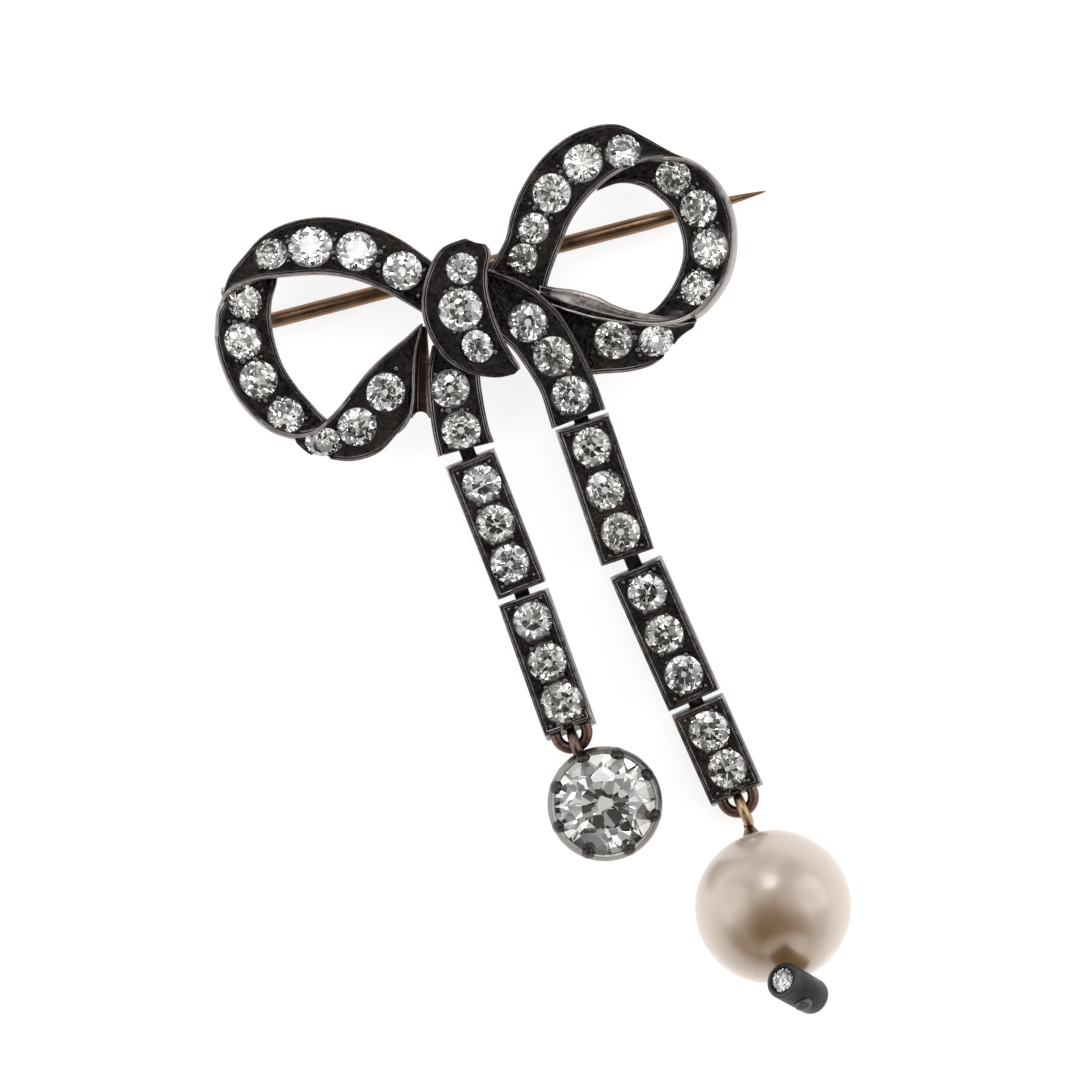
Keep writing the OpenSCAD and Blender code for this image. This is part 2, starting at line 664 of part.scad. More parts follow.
// Post axes: origin at the pearl's middle, Z along the post toward the cap
module on_post() {
    translate([pearl_at[0], pearl_at[1], pearl_d / 2]) rotate([0, 0, post_turn])
        rotate([90 - post_tilt, 0, 0]) children();
}

// Cap tube axes: Z along the tube toward its stone
module on_cap() {
    on_post() translate([0, 0, pearl_d / 2 + cap_d / 2 + 0.08]) rotate([0, 0, 27])
        rotate([-90, 0, 0]) children();
}

module pearl() {
    color("Linen") laid() on_post() difference() {
        sphere(d = pearl_d);
        cylinder(h = pearl_d + 2, d = drill_d, center = true);
    }
}

// Post through the pearl with its ring, collar and riveted end
module pearl_post() {
    color("RosyBrown") laid() {
        on_post() {
            translate([0, 0, -pearl_d / 2 - post_up]) cylinder(h = pearl_d + post_up + post_down, d = 0.6);
            translate([0, 0, -pearl_d / 2 - 1]) cylinder(h = 0.95, d1 = 0.62, d2 = 1.5);
            translate([0, 0, pearl_d / 2 + post_down - 0.15]) cylinder(h = 0.15, d = 0.95);
        }
        hung_ring(right_plate_3_top, right_plate_3_lie, right_plate_3_len);
    }
}

// Tube across the end of the post with a stone in its face
module pearl_cap() {
    color("DimGray") laid() difference() {
        on_cap() translate([0, 0, -cap_len / 2]) cylinder(h = cap_len, d = cap_d);
        on_cap() translate([0, 0, cap_len / 2 - 0.12]) {
            cylinder(h = 1, d = cap_stone_d + 0.12);
            translate([0, 0, -0.8]) cylinder(h = 0.8, d1 = 0.5, d2 = cap_stone_d + 0.12);
        }
        on_post() cylinder(h = 9, d = 0.72);
    }
}

module cap_stone() {
    color("White") laid() on_cap() translate([0, 0, cap_len / 2 - 0.08]) gem(cap_stone_d);
}

module left_loop_stones() {
    color("White") laid() {
        per_stone(left_top_rows, left_top_stones) gem($stone);
        per_stone(left_end_rows, left_end_stones) gem($stone);
        per_stone(left_foot_rows, left_foot_stones) gem($stone);
    }
}

module right_loop_stones() {
    color("White") laid() {
        per_stone(right_top_rows, right_top_stones) gem($stone);
        per_stone(right_end_rows, right_end_stones) gem($stone);
        per_stone(right_foot_rows, right_foot_stones) gem($stone);
    }
}

module knot_gems() {
    color("White") laid() per_stone(knot_rows, knot_stones) gem($stone);
}

module left_tail_gems() {
    color("White") laid() per_stone(left_tail_rows, left_tail_stones) gem($stone);
}

module right_tail_gems() {
    color("White") laid() per_stone(right_tail_rows, right_tail_stones) gem($stone);
}

bow_frame();
hinge_rivet();
pin_stem();
left_plate_1();
left_plate_2();
right_plate_1();
right_plate_2();
right_plate_3();
drop_collet();
drop_stone();
pearl();
pearl_post();
pearl_cap();
cap_stone();
left_loop_stones();
right_loop_stones();
knot_gems();  // knot_stones
left_tail_gems();  // left_tail_stones
right_tail_gems();  // right_tail_stones
plate_stones(left_plate_1_top, left_plate_1_lie, left_plate_1_len,  // left_plate_1_stones
        left_plate_w, left_plate_1_set);
plate_stones(left_plate_2_top, left_plate_2_lie, left_plate_2_len,  // left_plate_2_stones
        left_plate_w, left_plate_2_set);
plate_stones(right_plate_1_top, right_plate_1_lie, right_plate_1_len,  // right_plate_1_stones
        right_plate_w, right_plate_1_set);
plate_stones(right_plate_2_top, right_plate_2_lie, right_plate_2_len,  // right_plate_2_stones
        right_plate_w, right_plate_2_set);
plate_stones(right_plate_3_top, right_plate_3_lie, right_plate_3_len,  // right_plate_3_stones
        right_plate_w, right_plate_3_set);
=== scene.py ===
"""Bow brooch lying face up on its pin: a ribbon bow and two linked tails of oxidised silver set
with old-cut stones, a claw-set drop and a pearl drop. Meshes are made in millimetres and become
metres as objects."""
import math
import random

import bmesh
import bpy
from mathutils import Matrix, Vector, noise


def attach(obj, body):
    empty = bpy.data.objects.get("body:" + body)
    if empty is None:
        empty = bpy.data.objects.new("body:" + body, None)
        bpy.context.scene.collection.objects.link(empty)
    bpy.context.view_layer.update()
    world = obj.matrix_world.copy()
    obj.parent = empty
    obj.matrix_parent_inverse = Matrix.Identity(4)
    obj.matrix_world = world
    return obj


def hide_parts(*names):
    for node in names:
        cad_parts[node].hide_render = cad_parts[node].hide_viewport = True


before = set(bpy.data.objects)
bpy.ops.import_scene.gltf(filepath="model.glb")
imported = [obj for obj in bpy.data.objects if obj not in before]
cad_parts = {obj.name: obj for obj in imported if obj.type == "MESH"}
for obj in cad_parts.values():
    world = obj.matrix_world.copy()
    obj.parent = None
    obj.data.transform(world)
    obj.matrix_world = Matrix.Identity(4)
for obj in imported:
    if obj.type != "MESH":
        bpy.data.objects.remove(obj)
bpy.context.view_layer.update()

# ----------------
# The view: straight down on the front of the brooch from a long lens, turned so that the tails
# hang down to the right.
# Zero of all the tables, under the middle of the photo
middle = Vector((-2.5813, 4.4821, 0))
camera_data = bpy.data.cameras.new("overhead")
camera_data.lens = 150.7
camera_data.sensor_width = 36
camera_data.clip_start = 0.01
camera_data.clip_end = 10
camera = bpy.data.objects.new("overhead", camera_data)
camera.location = (middle.x / 1000, middle.y / 1000, 0.270)
camera.rotation_euler = (0, 0, math.radians(-20))
bpy.context.scene.collection.objects.link(camera)
bpy.context.scene.camera = camera

# ----------------
# Left loop of the bow: three runs of one silver ribbon, its edges raised to thin threads and the
# channel between them cut down to the stones. The runs fold over each other and are soldered, so
# they are joined here, and a seat open at the back is bored for every stone.
bow_w = 31.1
bow_h = 5.3
usual_stone = 2.3
ribbon_thick = 1.25
seat_depth, seat_fit = 1.32, 0.035
stone_sunk, grain_sunk = 0.3, 0.2
# Rows: outer x, outer y, inner x, inner y in bow widths, then both heights in bow heights
left_top_rows = [
    (0.001, 0.546, -0.053, 0.469, 0.77, 0.81),
    (-0.050, 0.622, -0.105, 0.532, 0.78, 0.86),
    (-0.105, 0.675, -0.158, 0.581, 0.78, 0.91),
    (-0.169, 0.713, -0.214, 0.612, 0.77, 0.93),
    (-0.236, 0.728, -0.274, 0.631, 0.74, 0.94),
    (-0.295, 0.722, -0.322, 0.643, 0.73, 0.93),
    (-0.345, 0.697, -0.356, 0.646, 0.74, 0.92),
    (-0.381, 0.673, -0.382, 0.645, 0.77, 0.90),
    (-0.413, 0.632, -0.408, 0.628, 0.76, 0.84),
]
left_end_rows = [
    (-0.342, 0.660, -0.290, 0.652, 0.75, 0.62),
    (-0.382, 0.642, -0.303, 0.626, 0.82, 0.65),
    (-0.413, 0.617, -0.321, 0.600, 0.87, 0.68),
    (-0.439, 0.584, -0.334, 0.568, 0.90, 0.71),
    (-0.449, 0.546, -0.342, 0.526, 0.91, 0.72),
    (-0.451, 0.502, -0.343, 0.478, 0.92, 0.72),
    (-0.445, 0.452, -0.333, 0.432, 0.92, 0.72),
    (-0.428, 0.406, -0.319, 0.395, 0.92, 0.73),
    (-0.403, 0.368, -0.308, 0.369, 0.92, 0.75),
    (-0.368, 0.341, -0.300, 0.355, 0.90, 0.79),
]
left_foot_rows = [
    (-0.375, 0.354, -0.371, 0.329, 0.82, 0.66),
    (-0.338, 0.343, -0.356, 0.302, 0.85, 0.57),
    (-0.294, 0.350, -0.325, 0.281, 0.89, 0.60),
    (-0.247, 0.378, -0.282, 0.261, 0.89, 0.66),
    (-0.192, 0.411, -0.231, 0.259, 0.89, 0.66),
    (-0.140, 0.433, -0.185, 0.281, 0.87, 0.67),
    (-0.103, 0.446, -0.161, 0.296, 0.84, 0.68),
    (-0.070, 0.460, -0.142, 0.315, 0.81, 0.68),
]
# Stones: share along the run, share across it, width in usual stones
left_top_stones = [
    (0.107, 0.487, 1.00), (0.264, 0.492, 1.04), (0.427, 0.486, 1.13), (0.591, 0.460, 0.85)
]
left_end_stones = [
    (0.204, 0.448, 0.91), (0.422, 0.471, 0.98), (0.606, 0.509, 0.98), (0.819, 0.490, 0.93)
]
left_foot_stones = [(0.239, 0.621, 0.91), (0.470, 0.547, 1.00), (0.657, 0.424, 1.00)]
# Threads carried over a fold: x, y in bow widths, height in bow heights
left_threads = [
    [(-0.356, 0.646, 0.917), (-0.383, 0.644, 0.906), (-0.398, 0.638, 0.891), (-0.412, 0.626, 0.894),
     (-0.426, 0.608, 0.906), (-0.436, 0.584, 0.913), (-0.443, 0.563, 0.919)],
    [(-0.426, 0.407, 0.921), (-0.402, 0.369, 0.921), (-0.370, 0.344, 0.919), (-0.339, 0.337, 0.913),
     (-0.313, 0.342, 0.906), (-0.291, 0.351, 0.898), (-0.245, 0.374, 0.892)],
    [(-0.185, 0.282, 0.679), (-0.164, 0.294, 0.683), (-0.148, 0.310, 0.694), (-0.133, 0.338, 0.706),
     (-0.119, 0.374, 0.717), (-0.102, 0.412, 0.745), (-0.082, 0.443, 0.783),
     (-0.069, 0.461, 0.811)],
]


def row_at(rows, share):
    """The row at a share of a table's length, on a smooth curve through the table."""
    last = len(rows) - 1
    place = max(0.0, min(share * last, last - 1e-4))
    i = int(place)
    t = place - i
    near = (rows[min(max(k, 0), last)] for k in (i - 1, i, i + 1, i + 2))
    return [
        0.5 * (2 * q + (r - p) * t + (2 * p - 5 * q + 4 * r - s) * t**2
               + (3 * q - p - 3 * r + s) * t**3)
        for p, q, r, s in zip(*near)
    ]


def ribbon_edges(rows, share):
    """Outer and inner edge of a ribbon, in millimetres."""
    row = row_at(rows, share)
    outer = Vector((row[0] * bow_w, row[1] * bow_w, row[4] * bow_h)) + middle
    inner = Vector((row[2] * bow_w, row[3] * bow_w, row[5] * bow_h)) + middle
    return outer, inner


def ribbon_face(rows, share):
    """Outer edge, direction across, direction out of the face, and width of a ribbon."""
    outer, inner = ribbon_edges(rows, share)
    back = ribbon_edges(rows, max(share - 0.02, 0))
    ahead = ribbon_edges(rows, min(share + 0.02, 1))
    across = (inner - outer).normalized()
    up = across.cross(ahead[0] + ahead[1] - back[0] - back[1]).normalized()
    if up.z < 0:
        up.negate()
    return outer, across, up, (inner - outer).length


def thread_side(width, thick, lean, sunk):
    """Half of a ribbon's section: wall, rounded thread, groove beside it and slope to the floor."""
    thread_w, slope_w, deepest = 0.178, 0.542, 0.72
    wall = [(lean, -thick), (lean * 0.6, -thick * 0.62), (lean * 0.2, -thick * 0.3)]
    crest = [
        (0, -0.11), (0.01, -0.045), (0.045, -0.004), (0.09, 0.0), (0.14, -0.022),
        (thread_w, -0.09),
    ]
    cut = [
        (0.03, -0.105), (0.07, -0.07), (0.11, -0.09), (0.27, -sunk * 0.7), (0.42, -sunk * 0.95),
        (0.54, -sunk),
    ]
    thread = min(1.0, width / 0.5)
    slope = (min(deepest, width * 0.42) - thread_w * thread) / slope_w
    return (
        wall
        + [(s * thread, h * thread) for s, h in crest]
        + [(thread_w * thread + s * slope, h * slope) for s, h in cut]
    )


def thread_section(width, thick, lean, sunk):
    """The closed section of a set ribbon: both sides, the floor between them and the back."""
    floor_cells, back_cells = 3, 4
    side = thread_side(width, thick, lean, sunk)
    far = [(width - s, h) for s, h in reversed(side)]
    floor = [
        side[-1][0] + (far[0][0] - side[-1][0]) * k / floor_cells for k in range(1, floor_cells)
    ]
    back = [far[-1][0] + (side[0][0] - far[-1][0]) * k / back_cells for k in range(1, back_cells)]
    return side + [(s, side[-1][1]) for s in floor] + far + [(s, -thick) for s in back]


def sealed(bm, weld=1e-5):
    """The mesh with its doubles merged, its open ends filled and its faces turned outwards."""
    bmesh.ops.remove_doubles(bm, verts=bm.verts, dist=weld)
    bmesh.ops.holes_fill(bm, edges=[e for e in bm.edges if e.is_boundary], sides=0)
    bmesh.ops.recalc_face_normals(bm, faces=bm.faces)
    return bm


def sweep_ribbon(rows, thick=ribbon_thick, lean=0.08, section=thread_section, flare=0.0):
    """A closed ribbon: a grid whose cells are laid along the run and around the section, then
    welded. Its walls go straight down, and the outer one may flare at the foot."""
    step, sunk, wall_from = 0.15, 0.26, 0.3
    centres = [sum(ribbon_edges(rows, k / 20), Vector()) / 2 for k in range(21)]
    length = sum((b - a).length for a, b in zip(centres, centres[1:]))
    along = max(12, int(length / step))
    around = len(section(2.0, thick, lean, sunk))
    bm = bmesh.new()
    bmesh.ops.create_grid(bm, x_segments=along, y_segments=around, size=0.5)
    for v in bm.verts:
        i = round((v.co.x + 0.5) * along)
        j = round((v.co.y + 0.5) * around) % around
        outer, across, up, width = ribbon_face(rows, i / along)
        s, h = section(width, thick, min(lean, width * 0.2), sunk)[j]
        below = max(0.0, -wall_from - h)
        out = flare * below * (0.4 + 0.9 * i / along) if s < width / 2 else 0.0
        v.co = outer + across * (s - out) + up * (h + below) - Vector((0, 0, below))
    return sealed(bm, 1e-4)


def fold_thread(points):
    """The thread of a run carried on over the next one: a grid rolled round a smooth curve."""
    radius, sunk, root = 0.105, 0.07, 0.5
    bm = bmesh.new()
    bmesh.ops.create_grid(bm, x_segments=len(points) * 9, y_segments=10, size=0.5)
    for v in bm.verts:
        share = v.co.x + 0.5
        turn = (v.co.y + 0.5) * math.tau
        here, back, ahead = (
            row_at(points, k) for k in (share, max(share - 0.02, 0), min(share + 0.02, 1))
        )
        side = Vector((ahead[1] - back[1], back[0] - ahead[0], 0)).normalized()
        thin = radius * min(1.0, 0.25 + 9 * share, 0.25 + 9 * (1 - share))
        v.co = Vector((here[0] * bow_w, here[1] * bow_w, here[2] * bow_h - sunk)) + middle
        v.co += side * math.cos(turn) * thin
        v.co.z += math.sin(turn) * (thin if math.sin(turn) > 0 else root)
    return sealed(bm, 1e-4)


def lay_on(rows, along, across, depth):
    """Where a thing sits on a ribbon: X across, Z out of the face."""
    outer, side, up, _ = ribbon_face(rows, along)
    at = outer + (ribbon_edges(rows, along)[1] - outer) * across + up * depth
    axes = Matrix((side, up.cross(side), up)).transposed().to_4x4()
    return Matrix.Translation(at) @ axes


def moved(bm, matrix):
    """The mesh after a move."""
    bmesh.ops.transform(bm, matrix=matrix, verts=bm.verts)
    return bm


def shift(x, y, z):
    """A straight move."""
    return Matrix.Translation((x, y, z))


def rotation(degrees, axis):
    """A turn about an axis through the origin."""
    return Matrix.Rotation(math.radians(degrees), 4, axis)


def spun(bm, steps):
    """A section turned once round the Z axis."""
    bmesh.ops.spin(
        bm, geom=bm.verts[:] + bm.edges[:], axis=(0, 0, 1), cent=(0, 0, 0), steps=steps,
        angle=math.tau, use_merge=True,
    )
    return sealed(bm)


def turned(profile, steps=96, closed=False):
    """A profile of radius and height turned round the Z axis."""
    bm = bmesh.new()
    corners = [bm.verts.new((r, 0, z)) for r, z in profile]
    for a, b in zip(corners, corners[1:] + (corners[:1] if closed else [])):
        bm.edges.new((a, b))
    return spun(bm, steps)


def seat_cutter(radius, depth=seat_depth):
    """What a seat burr takes away: a short bright cylinder, a cone and a small open back."""
    back = 0.45
    return turned([(radius, 0.5), (radius, -0.07), (back, -depth), (back, -depth - 1.0)], 36)


def as_object(bm, name):
    """A millimetre bmesh as an object in metres."""
    bmesh.ops.scale(bm, vec=(0.001, 0.001, 0.001), verts=bm.verts)
    mesh = bpy.data.meshes.new(name)
    bm.to_mesh(mesh)
    bm.free()
    made = bpy.data.objects.new(name, mesh)
    bpy.context.scene.collection.objects.link(made)
    return made


def mark_wear_and_sheen(piece, walls=0.0, polished=()):
    """Stores how far each point stands out, where the metal is rubbed bright. Flaring walls get
    more as a painted reflection of the pale floor, and points near a polished spot get more as a
    painted sheen."""
    reach, spot_r, painted_sheen_gain = 0.00012, 0.0009, 0.08
    bm = bmesh.new()
    bm.from_mesh(piece.data)
    bm.normal_update()
    values = []
    for v in bm.verts:
        total = weight = 0.0
        for e in v.link_edges:
            d = e.other_vert(v).co - v.co
            if d.length > 1e-9:
                total -= v.normal.dot(d.normalized()) * min(d.length, reach)
                weight += min(d.length, reach)
        # Painted reflection: flaring walls are lightened as if they mirrored the pale floor.
        painted_reflection_share = max(0.0, 1 - abs(v.normal.z - 0.3) / 0.17)
        values.append((total / weight if weight else 0.0) + walls * painted_reflection_share)
        # Painted sheen: points near a polished spot are lightened.
        if any((v.co - spot).length < spot_r for spot in polished):
            values[-1] += painted_sheen_gain
    bm.free()
    wear_and_sheen = piece.data.attributes.new("wear_and_sheen", "FLOAT", "POINT")
    wear_and_sheen.data.foreach_set("value", values)


def boolean(work, others, how):
    """Adds the other pieces to the work, or takes them away, and clears them."""
    for other in others:
        step = work.modifiers.new("join", "BOOLEAN")
        step.operation = how
        step.object = other
        step.solver = "MANIFOLD"
    depsgraph = bpy.context.evaluated_depsgraph_get()
    mesh = bpy.data.meshes.new_from_object(work.evaluated_get(depsgraph))
    work.modifiers.clear()
    work.data = mesh
    for other in others:
        bpy.data.objects.remove(other)


def cut_and_join(name, solids, cutters=(), walls=0.0, polished=()):
    """Solders solids into one, marks how worn it is (with any painted floor reflection and painted
    sheen) and bores the cutters out of it.
    """
    parts = [as_object(bm, name if k == 0 else "spare") for k, bm in enumerate(solids)]
    boolean(parts[0], parts[1:], "UNION")
    mark_wear_and_sheen(parts[0], walls, polished)
    boolean(parts[0], [as_object(bm, "spare") for bm in cutters], "DIFFERENCE")
    return parts[0]


def smooth_faces(piece, angle=38):
    """Smooth shading with crisp folds."""
    piece.data.polygons.foreach_set("use_smooth", [True] * len(piece.data.polygons))
    piece.data.set_sharp_from_angle(angle=math.radians(angle))


def new_material(name):
    """A material, its node tree and its shader."""
    material = bpy.data.materials.new(name)
    material.use_nodes = True
    return material, material.node_tree, material.node_tree.nodes["Principled BSDF"]


def fill(tree, node, sockets):
    """Sets a node's sockets: the output of another node is linked, anything else is a value."""
    for socket, value in sockets.items():
        if isinstance(value, bpy.types.NodeSocket):
            tree.links.new(value, node.inputs[socket])
        else:
            node.inputs[socket].default_value = value


def add_node(tree, kind, sockets, output, **settings):
    """The output of a new node with its settings and sockets filled."""
    node = tree.nodes.new("ShaderNode" + kind)
    for key, value in settings.items():
        setattr(node, key, value)
    fill(tree, node, sockets)
    return node.outputs[output]


def add_noise(tree, where, scale, detail, **more):
    """A cloudy pattern."""
    sockets = {"Vector": where, "Scale": scale, "Detail": detail, **more}
    return add_node(tree, "TexNoise", sockets, "Fac")


def add_range(tree, value, low, high, new_low=0.0, new_high=1.0, **settings):
    """A value carried from one range to another."""
    sockets = {
        "Value": value, "From Min": low, "From Max": high, "To Min": new_low, "To Max": new_high
    }
    return add_node(tree, "MapRange", sockets, "Result", **settings)


def add_ramp(tree, value, *stops):
    """A colour ramp: its two ends, then any stop between them."""
    ramp = tree.nodes.new("ShaderNodeValToRGB")
    marks = ramp.color_ramp.elements
    for k, (position, colour) in enumerate(stops):
        mark = marks[k] if k < 2 else marks.new(position)
        mark.position = position
        mark.color = (*colour, 1)
    tree.links.new(value, ramp.inputs["Fac"])
    return ramp.outputs["Color"]


def add_mix(tree, share, colour, over):
    """A plain colour laid over another one."""
    sockets = {"Factor": share, "A": colour, "B": (*over, 1)}
    return add_node(tree, "Mix", sockets, "Result", data_type="RGBA")


def add_bump(tree, height, strength, distance, **more):
    """A rough skin."""
    sockets = {"Height": height, "Strength": strength, "Distance": distance, **more}
    return add_node(tree, "Bump", sockets, "Normal")


def silver_finish(
    name, recess, face, worn, rough=(0.26, 0.44), spots=(0.13, 0.09, 0.08), spotted=0.4,
    pits=0.0001, tooled=0.0,
):
    """Oxidised silver: dark and tooled in the recesses, worn bright on the threads, lighter with
    the painted floor reflection and painted sheen stored with the wear marks, softly brushed,
    pitted and spotted."""
    material, tree, shader = new_material(name)
    where = add_node(tree, "TexCoord", {}, "Object")
    wear_and_sheen = add_node(tree, "Attribute", {}, "Fac", attribute_name="wear_and_sheen")
    cloud = add_noise(tree, where, 900, 6, Roughness=0.62)
    # The stored marks also carry painted floor reflection and painted sheen, which the worn colour
    # shows.
    rubbed = {0: cloud, 1: 0.5, 2: add_range(tree, wear_and_sheen, -0.02, 0.26)}
    rub_and_sheen = add_node(tree, "Math", rubbed, 0, operation="MULTIPLY_ADD")
    metal = add_ramp(tree, rub_and_sheen, (0.18, recess), (0.98, worn), (0.5, face))
    patch = add_range(tree, add_noise(tree, where, 330, 3), 0.56, 0.74, new_high=spotted)
    normal = add_node(tree, "NewGeometry", {}, "Normal")
    upward = add_node(tree, "SeparateXYZ", {0: normal}, "Z")
    flat = add_range(tree, upward, 0.55, 0.8, new_high=tooled)
    low = add_range(tree, wear_and_sheen, 0.02, 0.1, 1.0, 0.0)
    tool_depth = add_node(tree, "Math", {0: flat, 1: low}, 0, operation="MULTIPLY")
    tool_marks = add_noise(tree, where, 1900, 3, Distortion=1.2)
    pitted = add_bump(tree, add_noise(tree, where, 2600, 5), 0.5, pits)
    fill(tree, shader, {
        "Metallic": 1.0,
        "Base Color": add_mix(tree, patch, metal, spots),
        "Roughness": add_range(tree, cloud, 0.3, 0.7, *rough),
        "Normal": add_bump(tree, tool_marks, tool_depth, 0.0005, Normal=pitted),
    })
    return material


dark_silver = silver_finish(
    "oxidised_silver", recess=(0.021, 0.019, 0.018), face=(0.056, 0.048, 0.046),
    worn=(0.52, 0.47, 0.455), tooled=1.0,
)
bead_silver = silver_finish(
    "beaded_silver", recess=(0.017, 0.015, 0.014), face=(0.04, 0.035, 0.034),
    worn=(0.19, 0.17, 0.166), rough=(0.2, 0.34),
)
chance = random.Random(7)


def cut_stone(table_width, crown, pavilion, culet):
    """An old-cut stone of one millimetre radius, ground facet by facet from a round blank."""
    table_at, girdle = 0.34, 0.03
    bm = bmesh.new()
    bmesh.ops.create_cone(bm, cap_ends=True, segments=32, radius1=1.0, radius2=1.0, depth=3.0)

    def grind(azimuth, angle, reach, level, below=False):
        a, t = math.radians(azimuth), math.radians(angle)
        sign = -1 if below else 1
        normal = Vector((math.sin(t) * math.cos(a), math.sin(t) * math.sin(a), sign * math.cos(t)))
        point = Vector((reach * math.cos(a), reach * math.sin(a), level))
        bmesh.ops.bisect_plane(
            bm, geom=bm.verts[:] + bm.edges[:] + bm.faces[:], dist=1e-5, plane_co=point,
            plane_no=normal, clear_outer=True,
        )
        rim = [e for e in bm.edges if e.is_boundary]
        if rim:
            bmesh.ops.holes_fill(bm, edges=rim, sides=0)

    grind(0, 0, 0, table_at)
    grind(0, 0, 0, -0.86 + culet * 0.8, below=True)
    for k in range(8):
        turn = 45 * k + chance.uniform(-1.5, 1.5)
        grind(turn, crown + chance.uniform(-1, 1), 1.0, girdle)
        grind(turn, pavilion + chance.uniform(-1, 1), 1.0, -girdle, below=True)
    for k in range(8):
        turn = 45 * k + 22.5 + chance.uniform(-2, 2)
        grind(turn, crown * 0.58, table_width, table_at)
    for k in range(16):
        turn = 22.5 * k + 11.25 + chance.uniform(-1, 1)
        grind(turn, crown + 5 + chance.uniform(-1, 1), 0.985, girdle)
        grind(turn, pavilion + 2 + chance.uniform(-0.7, 0.7), 0.985, -girdle, below=True)
    bmesh.ops.remove_doubles(bm, verts=bm.verts, dist=0.004)
    bmesh.ops.recalc_face_normals(bm, faces=bm.faces)
    mesh = bpy.data.meshes.new("rough_cut")
    bm.to_mesh(mesh)
    bm.free()
    return mesh


# Table width, crown angle, pavilion angle and culet of six cuts
stone_cuts = [cut_stone(*shape) for shape in (
    (0.50, 35, 40.7, 0.09), (0.46, 36, 41.2, 0.12), (0.54, 34, 40.2, 0.10),
    (0.44, 37, 41.6, 0.13), (0.52, 33.5, 40.4, 0.08), (0.48, 35.5, 41.0, 0.11),
)]


def gather_stones(places):
    """A bmesh of cut stones: each place is a matrix and a width in millimetres."""
    bm = bmesh.new()
    for place, width in places:
        cut = stone_cuts[chance.randrange(len(stone_cuts))]
        count = len(bm.verts)
        bm.from_mesh(cut)
        bm.verts.ensure_lookup_table()
        new = bm.verts[count:]
        tilt = rotation(chance.uniform(-2, 2), "X") @ rotation(chance.uniform(-2, 2), "Y")
        turn = Matrix.Rotation(chance.uniform(0, math.tau), 4, "Z")
        size = Matrix.Diagonal((width / 2, width / 2 * chance.uniform(0.91, 1.0), width / 2, 1.0))
        bmesh.ops.transform(bm, matrix=place @ tilt @ turn @ size, verts=new)
    return bm


clear_stone, tree, shader = new_material("old_cut_stone")
inside = add_noise(tree, add_node(tree, "TexCoord", {}, "Object"), 420, 2)
fill(tree, shader, {
    "Transmission Weight": 1.0,
    "IOR": 2.4,
    "Roughness": 0.0,
    "Base Color": add_ramp(tree, inside, (0.35, (0.94, 0.935, 0.915)), (0.72, (0.78, 0.77, 0.7))),
})


def ribbon_places(sets):
    """Girdle places and widths of the stones of one or more runs."""
    return [
        (lay_on(rows, along, across, -stone_sunk), share * usual_stone)
        for rows, stones in sets
        for along, across, share in stones
    ]


def bore(places):
    """Seat cutters at stone places, a little wider than the stones."""
    return [moved(seat_cutter(width / 2 + seat_fit), place) for place, width in places]


def add_grain(bm, place, radius):
    """One bead of silver pushed up over the edge of a stone."""
    bead = bmesh.ops.create_icosphere(bm, subdivisions=2, radius=radius)
    squat = Matrix.Diagonal((1.0, 1.0, 0.85, 1.0))
    bmesh.ops.transform(bm, matrix=place @ squat, verts=bead["verts"])


def run_grains(bm, rows, stones):
    """Beads in the notches between neighbouring stones of a run, and round its first and last."""
    clear, second_out, second_size = 0.13, 0.36, 0.66
    end_clear, end_turn, least_width = 0.08, 0.75, 1.6
    for first, second in zip(stones, stones[1:]):
        a, b = (lay_on(rows, stone[0], stone[1], -stone_sunk) for stone in (first, second))
        along = (first[0] + second[0]) / 2
        across = (first[1] + second[1]) / 2
        width = ribbon_face(rows, along)[3]
        gap = (a.translation - b.translation).length
        r = (first[2] + second[2]) / 4 * usual_stone
        off = math.sqrt(max((r + clear) ** 2 - (gap / 2) ** 2, 0.16))
        for side in (-1, 1):
            size = chance.uniform(0.16, 0.22)
            at = across + side * off / width
            if 0.14 < at < 0.86:
                add_grain(bm, lay_on(rows, along, at, -grain_sunk), size)
            wide = across + side * (off + second_out) / width
            if 0.2 < wide < 0.8:
                beside = along + chance.uniform(-0.01, 0.01)
                add_grain(bm, lay_on(rows, beside, wide, -grain_sunk), size * second_size)
    edge = [ribbon_edges(rows, k / 10)[0] for k in range(11)]
    length = sum((b - a).length for a, b in zip(edge, edge[1:]))
    for stone, way in ((stones[0], -1), (stones[-1], 1)):
        width = ribbon_face(rows, stone[0])[3]
        r = stone[2] * usual_stone / 2 + end_clear
        for side in (-end_turn, end_turn):
            along = stone[0] + way * r * math.cos(side) / length
            at = stone[1] + r * math.sin(side) / width
            if 0.02 < along < 0.98 and 0.16 < at < 0.84 and width > least_width:
                add_grain(bm, lay_on(rows, along, at, -grain_sunk), chance.uniform(0.14, 0.18))


def finish_metal(piece, material, *nodes, slot="dark_silver", body="brooch"):
    """Wear marks, shading, material and the calls that fix a metal piece to its body."""
    if "wear_and_sheen" not in piece.data.attributes:
        mark_wear_and_sheen(piece)
    smooth_faces(piece)
    piece.data.materials.clear()
    piece.data.materials.append(material)
    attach(piece, body)
    if nodes:
        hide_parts(*nodes)


def finish_grains(name, sets):
    """The beads of one or more runs as one piece."""
    bm = bmesh.new()
    for rows, stones in sets:
        run_grains(bm, rows, stones)
    finish_metal(as_object(bm, name), bead_silver)


def finish_stones(bm, name, *nodes):
    """A group of cut stones as one piece, flat facets and all."""
    piece = as_object(bm, name)
    piece.data.materials.append(clear_stone)
    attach(piece, "brooch")
    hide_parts(*nodes)


